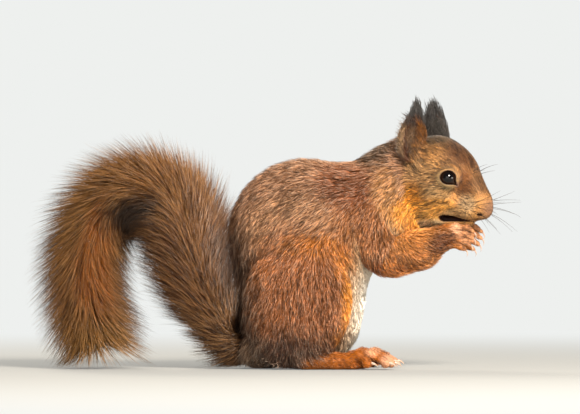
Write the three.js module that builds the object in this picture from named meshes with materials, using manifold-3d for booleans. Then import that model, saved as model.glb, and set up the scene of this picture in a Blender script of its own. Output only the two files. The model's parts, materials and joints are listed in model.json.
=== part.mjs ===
// A life-size red squirrel, sitting up on its haunches with both hands at its mouth.
// Millimetres, +Z up, the animal faces +X and its left side is +Y.
// The solids reach out to the tips of the fur, and every flat it rests on lies at Z = 0.
import * as THREE from 'three';
import { mergeVertices } from 'three/addons/utils/BufferGeometryUtils.js';
import Module from 'manifold-3d';

const wasm = await Module();
wasm.setup();

// ---------------------------------------------------------------- driving dimensions
const GAP = 0.3;                     // clearance between two pieces that meet
const BODY_CELL = 9.2;               // facet size on the trunk, neck, thighs and upper arms
const TAIL_CELL = 12.5;              // facet size on the tail
const HEAD_CELL = 6.4;               // facet size on the head
const FOREARM_CELL = 6.2;            // facet size on the forearms

const NECK_PIVOT_X = 78;             // the head turns about this upright line
const HEAD_YAW = THREE.MathUtils.degToRad(20);   // turned towards the animal's right

const EYE_RADIUS = 5.4;              // eyeball
const EYE = [105.2, 11.8, 104.4];    // centre of the left eyeball, in the unturned head
const FOOT_SPREAD = 23;              // middle of each foot from the middle of the body
const ARM_SPREAD = 17;               // middle of each elbow from the middle of the body
const HAND_MID_Y = -11.5;            // between the two hands, in front of the turned mouth
const HAND_OFFSET = 5.4;             // each hand from that middle

// The two sides of the body. The left foot stands a little ahead of the right one, and
// the left hand reaches further forward because the head is turned to the right.
const SIDES = [
  { name: 'right', sign: -1, footForward: 0, handForward: 0 },
  { name: 'left', sign: 1, footForward: 2.5, handForward: 5 },
];

// Colours of the coat and the bare parts.
const PAINT = {
  back: ['#a67e5e', 0.9],
  flank: ['#96613d', 0.9],
  face: ['#b0794a', 0.9],
  tail: ['#805633', 0.95],
  ear: ['#775032', 0.9],
  limb: ['#b96e2c', 0.9],
  eye: ['#14100e', 0.1],
  claw: ['#cdb59a', 0.4],
};

// ---------------------------------------------------------------- distance functions
// A shape is a function of a point that is negative inside. Round cones are the basic
// form: a ball rolled from one centre to another while its radius changes. "wide" gives
// the cross section's width over its height.
function roundCone(a, ra, b, rb, wide = 1) {
  const axis = [b[0] - a[0], (b[1] - a[1]) / wide, b[2] - a[2]];
  const l2 = axis[0] ** 2 + axis[1] ** 2 + axis[2] ** 2;
  const rr = ra - rb;
  const a2 = l2 - rr * rr;
  const il2 = 1 / l2;
  return (x, y, z) => {
    const px = x - a[0];
    const py = (y - a[1]) / wide;
    const pz = z - a[2];
    const along = px * axis[0] + py * axis[1] + pz * axis[2];
    const beyond = along - l2;
    const qx = px * l2 - axis[0] * along;
    const qy = py * l2 - axis[1] * along;
    const qz = pz * l2 - axis[2] * along;
    const x2 = qx * qx + qy * qy + qz * qz;
    const y2 = along * along * l2;
    const z2 = beyond * beyond * l2;
    const k = Math.sign(rr) * rr * rr * x2;
    if (Math.sign(beyond) * a2 * z2 > k) return Math.sqrt(x2 + z2) * il2 - rb;
    if (Math.sign(along) * a2 * y2 < k) return Math.sqrt(x2 + y2) * il2 - ra;
    return (Math.sqrt(x2 * a2 * il2) + along * rr) * il2 - ra;
  };
}

// An ellipsoid, turned about Y by "lean" radians (top forward when positive).
function ellipsoid(centre, radii, lean = 0) {
  const c = Math.cos(lean);
  const s = Math.sin(lean);
  return (x, y, z) => {
    const dx = x - centre[0];
    const dz = z - centre[2];
    const px = dx * c - dz * s;
    const pz = dx * s + dz * c;
    const py = y - centre[1];
    const k0 = Math.hypot(px / radii[0], py / radii[1], pz / radii[2]);
    const k1 = Math.hypot(px / radii[0] ** 2, py / radii[1] ** 2, pz / radii[2] ** 2);
    return k1 < 1e-9 ? -Math.min(...radii) : (k0 * (k0 - 1)) / k1;
  };
}

// Joins shapes into one, with a fillet of about "soft" where they meet.
function blend(soft, ...shapes) {
  return (x, y, z) => {
    let d = shapes[0](x, y, z);
    for (let i = 1; i < shapes.length; i += 1) {
      const e = shapes[i](x, y, z);
      const h = Math.max(soft - Math.abs(d - e), 0) / soft;
      d = Math.min(d, e) - (h * h * soft) / 4;
    }
    return d;
  };
}

// A chain of balls [x, z, radius] at one Y, joined by round cones.
function chain(balls, y, wide, soft) {
  const links = [];
  for (let i = 1; i < balls.length; i += 1) {
    const [x0, z0, r0] = balls[i - 1];
    const [x1, z1, r1] = balls[i];
    links.push(roundCone([x0, y, z0], r0, [x1, y, z1], r1, wide));
  }
  return blend(soft, ...links);
}

// The head's shapes are drawn looking straight ahead, then turned about the neck.
function turned(shape) {
  const c = Math.cos(HEAD_YAW);
  const s = Math.sin(HEAD_YAW);
  return (x, y, z) => {
    const dx = x - NECK_PIVOT_X;
    return shape(NECK_PIVOT_X + dx * c - y * s, dx * s + y * c, z);
  };
}

function turnedPoint([x, y, z]) {
  const c = Math.cos(HEAD_YAW);
  const s = Math.sin(HEAD_YAW);
  const dx = x - NECK_PIVOT_X;
  return [NECK_PIVOT_X + dx * c + y * s, -dx * s + y * c, z];
}

// ---------------------------------------------------------------- surfaces from shapes
// A cube cell's edges and faces, by the numbers of its corners (x + 2 y + 4 z).
const CELL_EDGES = [];
for (let axis = 0; axis < 3; axis += 1) {
  for (let v = 0; v < 2; v += 1) {
    for (let u = 0; u < 2; u += 1) {
      const start = (u << ((axis + 1) % 3)) + (v << ((axis + 2) % 3));
      CELL_EDGES.push([start, start + (1 << axis)]);
    }
  }
}
const CELL_FACES = [
  [0, 2, 6, 4], [1, 3, 7, 5], [0, 1, 5, 4], [2, 3, 7, 6], [0, 1, 3, 2], [4, 5, 7, 6],
];

function edgeBetween(a, b) {
  return CELL_EDGES.findIndex(([c, d]) => (c === a && d === b) || (c === b && d === a));
}

// Sorts the edges that the surface crosses in one cell into separate sheets of surface.
function sheetsIn(inside) {
  const sheet = CELL_EDGES.map(([a, b], e) => (inside[a] !== inside[b] ? e : -1));
  const join = (e, f) => {
    const [from, to] = [sheet[e], sheet[f]];
    sheet.forEach((label, i) => {
      if (label === from) sheet[i] = to;
    });
  };
  for (const face of CELL_FACES) {
    const around = face.map((c, m) => edgeBetween(c, face[(m + 1) % 4]));
    const crossed = around.filter((e) => sheet[e] >= 0);
    if (crossed.length === 2) join(crossed[0], crossed[1]);
    if (crossed.length === 4) {
      face.forEach((c, m) => {
        if (inside[c]) join(around[(m + 3) % 4], around[m]);
      });
    }
  }
  return sheet;
}

// Covers the zero surface of a shape with one vertex for each sheet of it in each cell,
// then slides every vertex onto the surface. The result is one closed mesh.
function surfaceNet(shape, inner, outer, cell) {
  const low = inner.map((v) => v - 2 * cell);
  const n = [0, 1, 2].map((i) => Math.ceil((outer[i] - low[i]) / cell) + 3);
  const at = (i, j, k) => (k * n[1] + j) * n[0] + i;
  const value = new Float64Array(n[0] * n[1] * n[2]);
  eachCell([0, 0, 0], n, (i, j, k) => {
    value[at(i, j, k)] = shape(low[0] + i * cell, low[1] + j * cell, low[2] + k * cell);
  });
  const points = [];
  const vertexOf = new Map();
  eachCell([0, 0, 0], n.map((v) => v - 1), (i, j, k) => {
    const corner = (c) => [i + (c & 1), j + ((c >> 1) & 1), k + ((c >> 2) & 1)];
    const f = [0, 1, 2, 3, 4, 5, 6, 7].map((c) => value[at(...corner(c))]);
    const inside = f.map((v) => v < 0);
    if (inside.every((v) => v === inside[0])) return;
    const sheet = sheetsIn(inside);
    for (const label of new Set(sheet.filter((s) => s >= 0))) {
      const crossings = [];
      CELL_EDGES.forEach(([a, b], e) => {
        if (sheet[e] !== label) return;
        const [pa, pb] = [corner(a), corner(b)];
        const t = f[a] / (f[a] - f[b]);
        crossings.push(pa.map((v, d) => v + (pb[d] - v) * t));
        vertexOf.set(at(i, j, k) * CELL_EDGES.length + e, points.length);
      });
      const middle = low.map((v, d) => {
        const sum = crossings.reduce((total, p) => total + p[d], 0);
        return v + (sum / crossings.length) * cell;
      });
      points.push(settle(shape, middle, cell));
    }
  });
  const faces = [];
  eachCell([1, 1, 1], n.map((v) => v - 1), (i, j, k) => {
    for (let axis = 0; axis < 3; axis += 1) {
      const next = [i, j, k];
      next[axis] += 1;
      const inside = value[at(i, j, k)] < 0;
      if (inside === value[at(...next)] < 0) continue;
      const ring = [[0, 0], [1, 0], [1, 1], [0, 1]].map(([u, v]) => {
        const c = [i, j, k];
        c[(axis + 1) % 3] -= u;
        c[(axis + 2) % 3] -= v;
        return vertexOf.get(at(...c) * CELL_EDGES.length + axis * 4 + v * 2 + u);
      });
      if (!inside) ring.reverse();
      faces.push(...splitQuad(points, ring));
    }
  });
  return { points, faces };
}

function eachCell(from, to, visit) {
  for (let k = from[2]; k < to[2]; k += 1) {
    for (let j = from[1]; j < to[1]; j += 1) {
      for (let i = from[0]; i < to[0]; i += 1) visit(i, j, k);
    }
  }
}

// Moves a point onto the zero surface along the shape's slope, by at most one cell.
function settle(shape, start, cell) {
  const p = [...start];
  const step = 0.05;
  for (let pass = 0; pass < 4; pass += 1) {
    const f = shape(...p);
    const g = [0, 1, 2].map((d) => {
      const q = [...p];
      q[d] += step;
      return (shape(...q) - f) / step;
    });
    const g2 = g[0] ** 2 + g[1] ** 2 + g[2] ** 2 + 1e-9;
    const move = THREE.MathUtils.clamp(f / g2, -cell / 4, cell / 4);
    for (let d = 0; d < 3; d += 1) p[d] -= g[d] * move;
  }
  return p;
}

// Two triangles across the shorter diagonal of a four-cornered face.
function splitQuad(points, [a, b, c, d]) {
  const apart = (i, j) => Math.hypot(...points[i].map((v, m) => v - points[j][m]));
  return apart(a, c) < apart(b, d) ? [[a, b, c], [a, c, d]] : [[a, b, d], [b, c, d]];
}

// The same mesh with each vertex pushed out along its normal: it cuts the clearance.
function swollen({ points, faces }, by) {
  const normal = points.map(() => new THREE.Vector3());
  for (const face of faces) {
    const [a, b, c] = face.map((i) => new THREE.Vector3(...points[i]));
    const n = b.clone().sub(a).cross(c.clone().sub(a));
    for (const i of face) normal[i].add(n);
  }
  const moved = points.map((p, i) => {
    const n = normal[i].normalize().multiplyScalar(by);
    return [p[0] + n.x, p[1] + n.y, p[2] + n.z];
  });
  return { points: moved, faces };
}

// A mesh as a solid; a mesh that is inside out is turned the right way first.
function solid({ points, faces: given }) {
  const volume = given.reduce((sum, [i, j, k]) => {
    const [a, b, c] = [points[i], points[j], points[k]].map((p) => new THREE.Vector3(...p));
    return sum + a.dot(b.cross(c));
  }, 0);
  const faces = volume < 0 ? given.map(([i, j, k]) => [i, k, j]) : given;
  return new wasm.Manifold(new wasm.Mesh({
    numProp: 3,
    vertProperties: new Float32Array(points.flat()),
    triVerts: new Uint32Array(faces.flat()),
  }));
}

// The mesh of a three.js geometry, with its doubled vertices merged.
function netOf(geometry) {
  geometry.deleteAttribute('normal');
  geometry.deleteAttribute('uv');
  const merged = mergeVertices(geometry, 1e-4);
  const position = merged.getAttribute('position');
  const points = [];
  for (let i = 0; i < position.count; i += 1) {
    points.push([position.getX(i), position.getY(i), position.getZ(i)]);
  }
  const faces = [];
  const index = merged.getIndex().array;
  for (let i = 0; i < index.length; i += 3) {
    const face = [index[i], index[i + 1], index[i + 2]];
    if (new Set(face).size === 3) faces.push(face);
  }
  return { points, faces };
}

// A rod along a few balls [x, y, z, radius], flat where it starts and round at its tip:
// used for toes, fingers, soles and palms. "wide" is its width over its height.
function rodNet(balls, sides, wide = 1) {
  const centre = balls.map(([x, y, z]) => new THREE.Vector3(x, y, z));
  const curve = new THREE.CatmullRomCurve3(centre);
  const last = balls.length - 1;
  const stations = balls.map((ball, i) => [centre[i], ball[3], curve.getTangent(i / last)]);
  const end = curve.getTangent(1);
  const cap = centre[last].clone().addScaledVector(end, 0.8 * balls[last][3]);
  stations.push([cap, 0.55 * balls[last][3], end]);
  const sideways = new THREE.Vector3(0, 1, 0);
  const points = [];
  for (const [place, radius, along] of stations) {
    const up = along.clone().cross(sideways).normalize();
    const across = up.clone().cross(along).normalize();
    for (let j = 0; j < sides; j += 1) {
      const a = (2 * Math.PI * (j + 0.5)) / sides;
      const p = place.clone().addScaledVector(up, radius * Math.cos(a));
      points.push(p.addScaledVector(across, radius * wide * Math.sin(a)).toArray());
    }
  }
  return { points, faces: tubeFaces(stations.length, sides) };
}

// The faces of a closed tube of rings, each with the same number of points.
function tubeFaces(rings, sides) {
  const faces = [];
  for (let i = 0; i < rings - 1; i += 1) {
    for (let j = 0; j < sides; j += 1) {
      const a = i * sides + j;
      const b = i * sides + ((j + 1) % sides);
      faces.push([a, b, b + sides], [a, b + sides, a + sides]);
    }
  }
  const last = (rings - 1) * sides;
  for (let j = 1; j < sides - 1; j += 1) {
    faces.push([0, j + 1, j]);
    faces.push([last, last + j, last + j + 1]);
  }
  return faces;
}

// ---------------------------------------------------------------- the forms of the body
const THIGH_CENTRE = [17.5, 21.5, 37];
const THIGH_RADII = [31, 14.5, 38.5];
const THIGH_LEAN = THREE.MathUtils.degToRad(8);
const SHOULDER = [55, ARM_SPREAD - 2, 84];
const ELBOW = [61.5, ARM_SPREAD, 64.5];

const trunkShape = blend(
  8,
  roundCone([18.5, 0, 34], 35, [21.5, 0, 73], 41, 0.74),
  roundCone([21.5, 0, 73], 41, [53, 0, 87], 26, 0.78),
  roundCone([53, 0, 87], 26.5, [70, 0, 99], 22, 0.82),
);

function mirrored([x, y, z], sign) {
  return [x, sign * y, z];
}

const thighShapes = SIDES.map(({ sign }) => ellipsoid(
  mirrored(THIGH_CENTRE, sign),
  THIGH_RADII,
  THIGH_LEAN,
));

const upperArmShapes = SIDES.map(({ sign }) => roundCone(
  mirrored(SHOULDER, sign),
  14,
  mirrored(ELBOW, sign),
  12.5,
  0.8,
));

const headShape = turned(blend(
  6,
  ellipsoid([92.5, 0, 106.7], [22.3, 18.4, 23.0]),
  ellipsoid([94, 0, 94], [20.5, 19, 14.6]),
  roundCone([104.6, 0, 104.9], 15.2, [118.6, 0, 92], 7.8, 0.84),
  roundCone([119, 0, 90.4], 6.2, [122.2, 0, 86.9], 4.7, 0.9),
  ellipsoid([112.5, 0, 88.4], [10, 8.6, 6.4]),
  roundCone([88.5, 0, 86.4], 9.4, [109.5, 0, 80.8], 3, 1.15),
));

const neckShape = blend(
  6,
  roundCone([68, 0, 98.5], 21.5, [86, 0, 103], 20, 0.84),
  roundCone([70, 0, 106], 16.8, [81, 0, 110.5], 17.6, 0.84),
);
const frontShape = blend(5, trunkShape, neckShape, headShape, ...thighShapes, ...upperArmShapes);

// The tail: the line through the middle of its brush, from the rump up, over and down.
const TAIL = [
  [-3, 9, 9.4],
  [-13, 13.5, 13.5],
  [-28, 29.5, 15.5],
  [-38.5, 45, 20],
  [-41.5, 62, 21],
  [-43.5, 80, 25],
  [-50, 92.5, 27.5],
  [-60, 97.3, 28],
  [-71, 96.5, 28],
  [-82.5, 91.5, 27.8],
  [-92.5, 80, 27.2],
  [-99, 64, 25.8],
  [-100.2, 47, 25.2],
  [-98, 31, 26.4],
  [-93.5, 15.5, 25],
];
const TAIL_WIDE = 1.1;
const tailShape = chain(TAIL, 0, TAIL_WIDE, 3);

// ---------------------------------------------------------------- feet
// Each toe: [sideways at the knuckle, sideways at the tip, knuckle x, tip x].
// Negative sideways is towards the outer edge of the foot.
const TOES = [
  [6.2, 8.2, 52, 59.5],
  [3.2, 4.4, 57, 67.5],
  [0, 0.2, 58.5, 69.5],
  [-3.4, -4.4, 57, 66.5],
  [-6.6, -8.2, 50.5, 56.5],
];
const TOE_RADIUS = 2.5;
const DIGIT_SIDES = 5;               // facets round a toe or finger
const SOLE_SIDES = 8;                // facets round a sole or palm

// "extra" swells a foot or hand, to cut its clearance from what it meets.
function soleNet({ sign, footForward }, extra) {
  const balls = [[18.5, 4.2, 3.6], [22, 4.4, 5.4], [38, 4.2, 5], [47, 4.2, 4.9], [53, 4.2, 4.6]];
  const placed = balls.map(([x, z, r]) => [x + footForward, sign * FOOT_SPREAD, z, r + extra]);
  return rodNet(placed, SOLE_SIDES, 1.45);
}

function toeNet({ sign, footForward }, [out0, out1, x0, x1], extra) {
  const at = (x, out, z, radius) => [
    x + footForward,
    sign * (FOOT_SPREAD - out),
    z,
    radius + extra,
  ];
  return rodNet([
    at(x0 - 5, out0 * 0.8, 5.4, TOE_RADIUS),
    at(x0, out0, 8.2, TOE_RADIUS + 0.4),
    at((x0 + x1) / 2, (out0 + out1) / 2, 5.4, TOE_RADIUS),
    at(x1, out1, 2.2, TOE_RADIUS - 0.1),
  ], DIGIT_SIDES);
}

function footSolid(side, extra) {
  return joined([soleNet(side, extra), ...TOES.map((toe) => toeNet(side, toe, extra))]);
}

function toeClaw({ sign, footForward }, [, out, , x]) {
  const base = [x + footForward + 0.4, sign * (FOOT_SPREAD - out), 2.8];
  return clawNet(base, [1, 0, 0.35], 5.6, 1.25, TOE_CLAW_CURL);
}

// ---------------------------------------------------------------- forearms and hands
function wrist({ sign, handForward }) {
  return [98.5 + handForward, HAND_MID_Y + sign * (HAND_OFFSET + 0.8), 73];
}

function forearmShape(side) {
  const elbow = [68, side.sign * ARM_SPREAD, 61.8];
  const middle = [84, (elbow[1] + wrist(side)[1]) / 2, 66];
  return blend(
    5,
    roundCone(elbow, 11.2, middle, 10.2, 0.85),
    roundCone(middle, 10.2, wrist(side), 6.6, 0.85),
  );
}

// Each finger: knuckle, middle joint and tip, as [x, z], and how far its tip and claw
// fan out sideways.
const FINGERS = [
  [[103.2, 77.8], [109.6, 77.6], [113.2, 75.2], 1.2],
  [[102.8, 74.2], [109.6, 73.8], [112.9, 71.6], 0.4],
  [[102.4, 70.8], [108.6, 70], [111.4, 68.2], -0.4],
  [[101.8, 68], [106.2, 66.8], [108.6, 65.6], -1.2],
];
const FINGER_RADIUS = 2.15;

function handPoint({ sign, handForward }, [x, z], out) {
  return [x + handForward, HAND_MID_Y + sign * (HAND_OFFSET + out), z];
}

function palmNet(side, extra) {
  return rodNet([
    [...handPoint(side, [94.5, 71.6], 0.8), 4.8 + extra],
    [...handPoint(side, [99, 73], 0), 6.2 + extra],
    [...handPoint(side, [103.5, 72.9], 0), 6.3 + extra],
  ], SOLE_SIDES, 0.56);
}

function fingerNet(side, [knuckle, joint, tip, fan], extra) {
  const root = [knuckle[0] - 2, knuckle[1]];
  const between = [(knuckle[0] + joint[0]) / 2, (knuckle[1] + joint[1]) / 2];
  return rodNet([
    [...handPoint(side, root, 0.6), FINGER_RADIUS + extra],
    [...handPoint(side, between, 1.4), FINGER_RADIUS + extra],
    [...handPoint(side, joint, 1.2), FINGER_RADIUS - 0.1 + extra],
    [...handPoint(side, tip, fan), FINGER_RADIUS - 0.3 + extra],
  ], DIGIT_SIDES);
}

function handSolid(side, extra) {
  return joined([palmNet(side, extra), ...FINGERS.map((finger) => fingerNet(side, finger, extra))]);
}

function fingerClaw(side, [, , tip, fan]) {
  return clawNet(handPoint(side, tip, fan), [0.9, 0, -0.35], 6, 0.85, FINGER_CLAW_CURL);
}

// ---------------------------------------------------------------- ears
// Each ear: foot and top of the shell and tip of its hair tuft, as [x, z], and how far
// it stands out from the middle of the head.
const EARS = {
  right: { foot: [84.8, 115], top: [86.6, 137], tuft: [88.6, 148.6], out: 14.6 },
  left: { foot: [88.5, 117], top: [93.4, 136], tuft: [87, 148.4], out: 14.4 },
};
const EAR_WIDTH = 7;                 // half the width of the shell
const EAR_DEPTH = 3.4;               // how far the back of the shell bulges
const EAR_SKIN = 1.5;                // thickness of the shell with its fur
const EAR_TURN = THREE.MathUtils.degToRad(35);   // each opening faces outwards and forwards
const EAR_RINGS = 7;
const EAR_STRETCH = 1.24;            // the shell's height over its foot-to-top distance
const TUFT_RADIUS = 5.6;
const TUFT_FLATNESS = 0.55;

// The shell of an ear: crescent rings from the foot to the top, open outwards.
function earNet({ name, sign }, extra) {
  const { foot, top, out } = EARS[name];
  const arc = [-80, -42, 0, 42, 80].map(THREE.MathUtils.degToRad);
  const points = [];
  for (let i = 0; i < EAR_RINGS; i += 1) {
    const s = i / (EAR_RINGS - 1);
    const t = 2 * s - 1;
    const width = (EAR_WIDTH + extra) * (1.04 - Math.abs(t) ** 2.6) ** 0.5;
    const depth = (EAR_DEPTH + extra) * (width / EAR_WIDTH);
    const open = Math.sin(Math.PI * s);
    const hollow = open * (depth - EAR_SKIN - 2 * extra);
    const along = EAR_STRETCH * (s - 0.5) + 0.5;
    const x = foot[0] + (top[0] - foot[0]) * along;
    const z = foot[1] + (top[1] - foot[1]) * along + extra * t;
    const back = arc.map((a) => [width * Math.sin(a), -depth * Math.cos(a)]);
    const front = [...arc].reverse().map((a) => [
      width * 0.86 * Math.sin(a),
      (0.8 + extra) * (1 - open) - hollow * Math.cos(a) + extra,
    ]);
    for (const [u, v] of [...back, ...front]) {
      const du = u * Math.cos(EAR_TURN) + v * Math.sin(EAR_TURN);
      const dv = v * Math.cos(EAR_TURN) - u * Math.sin(EAR_TURN);
      points.push(turnedPoint([x + du, sign * (out + dv), z]));
    }
  }
  return { points, faces: tubeFaces(EAR_RINGS, 2 * arc.length) };
}

// The tuft of hair on the ear: a thin cone from inside the top of the shell to its tip.
function tuftNet({ name, sign }) {
  const { top, tuft, out } = EARS[name];
  const base = new THREE.Vector3(...turnedPoint([top[0], sign * out, top[1] - 5]));
  const tip = new THREE.Vector3(...turnedPoint([tuft[0], sign * (out + 1), tuft[1]]));
  const length = base.distanceTo(tip);
  const cone = new THREE.CylinderGeometry(0.5, TUFT_RADIUS, length, 6, 1);
  cone.scale(1, 1, TUFT_FLATNESS);
  cone.translate(0, length / 2, 0);
  const up = new THREE.Vector3(0, 1, 0);
  const heading = tip.clone().sub(base).normalize();
  cone.applyQuaternion(new THREE.Quaternion().setFromUnitVectors(up, heading));
  cone.translate(...base.toArray());
  return netOf(cone);
}

// ---------------------------------------------------------------- claws
const CLAW_RINGS = 3;
const CLAW_SIDES = 4;
const TOE_CLAW_CURL = THREE.MathUtils.degToRad(75);
const FINGER_CLAW_CURL = THREE.MathUtils.degToRad(105);

// A claw is a tapering horn that curls downwards about the Y axis.
function clawNet(base, heading, length, radius, curl) {
  const points = [];
  const dir = new THREE.Vector3(...heading).normalize();
  const axis = new THREE.Vector3(0, 1, 0);
  const place = new THREE.Vector3(...base);
  for (let i = 0; i <= CLAW_RINGS; i += 1) {
    const r = radius * (1 - 0.7 * (i / CLAW_RINGS));
    const up = axis.clone().cross(dir);
    for (let j = 0; j < CLAW_SIDES; j += 1) {
      const a = (2 * Math.PI * j) / CLAW_SIDES;
      const p = place.clone().addScaledVector(up, r * Math.cos(a));
      points.push(p.addScaledVector(axis, r * 0.8 * Math.sin(a)).toArray());
    }
    place.addScaledVector(dir, length / CLAW_RINGS);
    dir.applyAxisAngle(axis, curl / CLAW_RINGS);
  }
  return { points, faces: tubeFaces(CLAW_RINGS + 1, CLAW_SIDES) };
}

// ---------------------------------------------------------------- building the pieces
const group = new THREE.Group();

// A cut can leave loose slivers: only the largest piece is kept.
function largestOf(body) {
  const pieces = body.decompose();
  return pieces.reduce((best, piece) => (piece.volume() > best.volume() ? piece : best));
}

function addNode(name, body, [colour, roughness]) {
  const mesh = largestOf(body).getMesh();
  const geometry = new THREE.BufferGeometry();
  geometry.setAttribute('position', new THREE.Float32BufferAttribute(mesh.vertProperties, 3));
  geometry.setIndex(Array.from(mesh.triVerts));
  const material = new THREE.MeshStandardMaterial({ color: colour, roughness, metalness: 0 });
  const node = new THREE.Mesh(geometry, material);
  node.name = name;
  group.add(node);
}

// Cuts a body by a plane through a point, keeping the side that the normal faces, half
// the clearance away from the plane.
function trim(body, { point, normal }) {
  const n = new THREE.Vector3(...normal).normalize();
  return body.trimByPlane(n.toArray(), n.dot(new THREE.Vector3(...point)) + GAP / 2);
}

function otherSide({ point, normal }) {
  return { point, normal: normal.map((v) => -v) };
}

function onFloor(body) {
  return body.trimByPlane([0, 0, 1], 0);
}

function joined(nets) {
  return nets.map(solid).reduce((whole, part) => whole.add(part));
}

function cutAll(body, cutters) {
  return cutters.reduce((left, cutter) => left.subtract(cutter), body);
}

// A block that marks off a limb from the body, leaning about Y.
function block(centre, { size, lean }, extra) {
  const box = new THREE.BoxGeometry(...size.map((v) => v + 2 * extra));
  box.rotateY(lean);
  box.translate(...centre);
  return solid(netOf(box));
}

const HEAD_BACK_X = 66;
const headAndThroat = (x, y, z) => Math.max(frontShape(x, y, z), HEAD_BACK_X - x);
const headNet = surfaceNet(headAndThroat, [HEAD_BACK_X, -45, 52], [130, 36, 136], HEAD_CELL);
const bodyNet = surfaceNet(frontShape, [-32, -45, -6], [130, 40, 136], BODY_CELL);
const tailNet = surfaceNet(tailShape, [-130, -34, -14], [2, 34, 128], TAIL_CELL);
const wholeBody = solid(bodyNet);

// The cutters collect the swollen shapes that are taken out of the head, body and tail.
const headCutters = [];
const limbCutters = [];
const blockCutters = [];

function addEyeAndEar(side) {
  const eye = new THREE.SphereGeometry(EYE_RADIUS, 10, 8);
  eye.translate(...turnedPoint(mirrored(EYE, side.sign)));
  const eyeNet = netOf(eye);
  addNode(`eye_${side.name}`, solid(eyeNet), PAINT.eye);
  const hair = tuftNet(side);
  addNode(`ear_${side.name}`, joined([earNet(side, 0), hair]), PAINT.ear);
  headCutters.push(solid(swollen(eyeNet, GAP)));
  headCutters.push(joined([earNet(side, GAP), swollen(hair, GAP)]));
}

function addFoot(side) {
  const claws = TOES.map((toe) => toeClaw(side, toe));
  claws.forEach((claw, i) => addNode(`toe_claw_${side.name}_${i + 1}`, onFloor(solid(claw)), PAINT.claw));
  const foot = cutAll(footSolid(side, 0), claws.map((claw) => solid(swollen(claw, GAP))));
  addNode(`foot_${side.name}`, onFloor(foot), PAINT.limb);
  limbCutters.push(footSolid(side, GAP));
}

function addArm(side) {
  const claws = FINGERS.map((finger) => fingerClaw(side, finger));
  claws.forEach((claw, i) => addNode(`finger_claw_${side.name}_${i + 1}`, solid(claw), PAINT.claw));
  const hand = cutAll(handSolid(side, 0), claws.map((claw) => solid(swollen(claw, GAP))));
  addNode(`hand_${side.name}`, hand, PAINT.limb);
  const handCutter = handSolid(side, GAP);
  const forearmNet = surfaceNet(forearmShape(side), [55, -34, 48], [112, 34, 84], FOREARM_CELL);
  addNode(`forearm_${side.name}`, cutAll(solid(forearmNet), [handCutter]), PAINT.limb);
  const forearmCutter = solid(swollen(forearmNet, GAP));
  const middle = [
    (SHOULDER[0] + ELBOW[0]) / 2,
    side.sign * (ARM_BLOCK.inner + ARM_BLOCK.size[1] / 2),
    (SHOULDER[2] + ELBOW[2]) / 2,
  ];
  const upperArm = wholeBody.intersect(block(middle, ARM_BLOCK, 0));
  addNode(`upper_arm_${side.name}`, cutAll(upperArm, [forearmCutter]), PAINT.back);
  limbCutters.push(handCutter, forearmCutter);
  blockCutters.push(block(middle, ARM_BLOCK, GAP));
}

function addHindLeg(side) {
  const middle = [
    THIGH_CENTRE[0],
    side.sign * (THIGH_BLOCK.inner + THIGH_BLOCK.size[1] / 2),
    THIGH_BLOCK.height,
  ];
  const leg = wholeBody.intersect(block(middle, THIGH_BLOCK, 0));
  addNode(`hind_leg_${side.name}`, onFloor(cutAll(leg, [...limbCutters, ...blockCutters])), PAINT.flank);
  return block(middle, THIGH_BLOCK, GAP);
}

// How far each limb's block starts from the middle of the body, and its full sizes.
const ARM_BLOCK = { size: [33, 40, 58], inner: 12, lean: THREE.MathUtils.degToRad(-18) };
const THIGH_BLOCK = { size: [68, 40, 84], inner: 13, lean: THIGH_LEAN, height: 32 };

SIDES.forEach(addEyeAndEar);
SIDES.forEach(addFoot);
SIDES.forEach(addArm);
blockCutters.push(...SIDES.map(addHindLeg));

const HEAD_CUT = { point: [80, 0, 100], normal: [1, -0.25, 0.1] };
const NECK_CUT = { point: [62, 0, 98], normal: [1, 0, 0.15] };
const allCutters = [...headCutters, ...limbCutters, ...blockCutters];
addNode('head', cutAll(trim(solid(headNet), HEAD_CUT), allCutters), PAINT.face);
const behindHead = trim(onFloor(cutAll(wholeBody, allCutters)), otherSide(HEAD_CUT));
addNode('neck', trim(behindHead, NECK_CUT), PAINT.back);
addNode('trunk', trim(behindHead, otherSide(NECK_CUT)), PAINT.back);

// The tail is cut across its length: two lengths rise, one arches over and two hang.
const tail = onFloor(cutAll(solid(tailNet), [solid(swollen(bodyNet, GAP)), ...limbCutters]));
const UNDER_ARCH = [-67.5, 0, 70];
const MIDDLE_CUT = { point: UNDER_ARCH, normal: [1, 0, 0] };
const FRONT_SPOKE = { point: UNDER_ARCH, normal: [-0.5, 0, 1] };
const REAR_SPOKE = { point: UNDER_ARCH, normal: [0.35, 0, 1] };
const RISE_CUT = { point: [-36, 0, 41], normal: [0.35, 0, 1] };
const FALL_CUT = { point: [-100, 0, 33], normal: [0, 0, 1] };
const rising = trim(trim(tail, MIDDLE_CUT), otherSide(FRONT_SPOKE));
const falling = trim(trim(tail, otherSide(MIDDLE_CUT)), otherSide(REAR_SPOKE));
addNode('tail_base', trim(rising, otherSide(RISE_CUT)), PAINT.tail);
addNode('tail_rise', trim(rising, RISE_CUT), PAINT.tail);
addNode('tail_arch', trim(trim(tail, FRONT_SPOKE), REAR_SPOKE), PAINT.tail);
addNode('tail_fall', trim(falling, FALL_CUT), PAINT.tail);
addNode('tail_tip', trim(falling, otherSide(FALL_CUT)), PAINT.tail);

export default group;
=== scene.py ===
# %% [markdown]
# # A red squirrel, life size
# A museum model of a squirrel is a carved body with a fur coat laid over it, glass eyes and
# real claws. This lesson makes a skin, then the coat, which is more than a hundred thousand
# thin locks of hair, and then the eyes, claws and whiskers.

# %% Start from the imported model
import json
import math

import bpy
import numpy as np
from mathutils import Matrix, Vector
from mathutils.kdtree import KDTree

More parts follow.
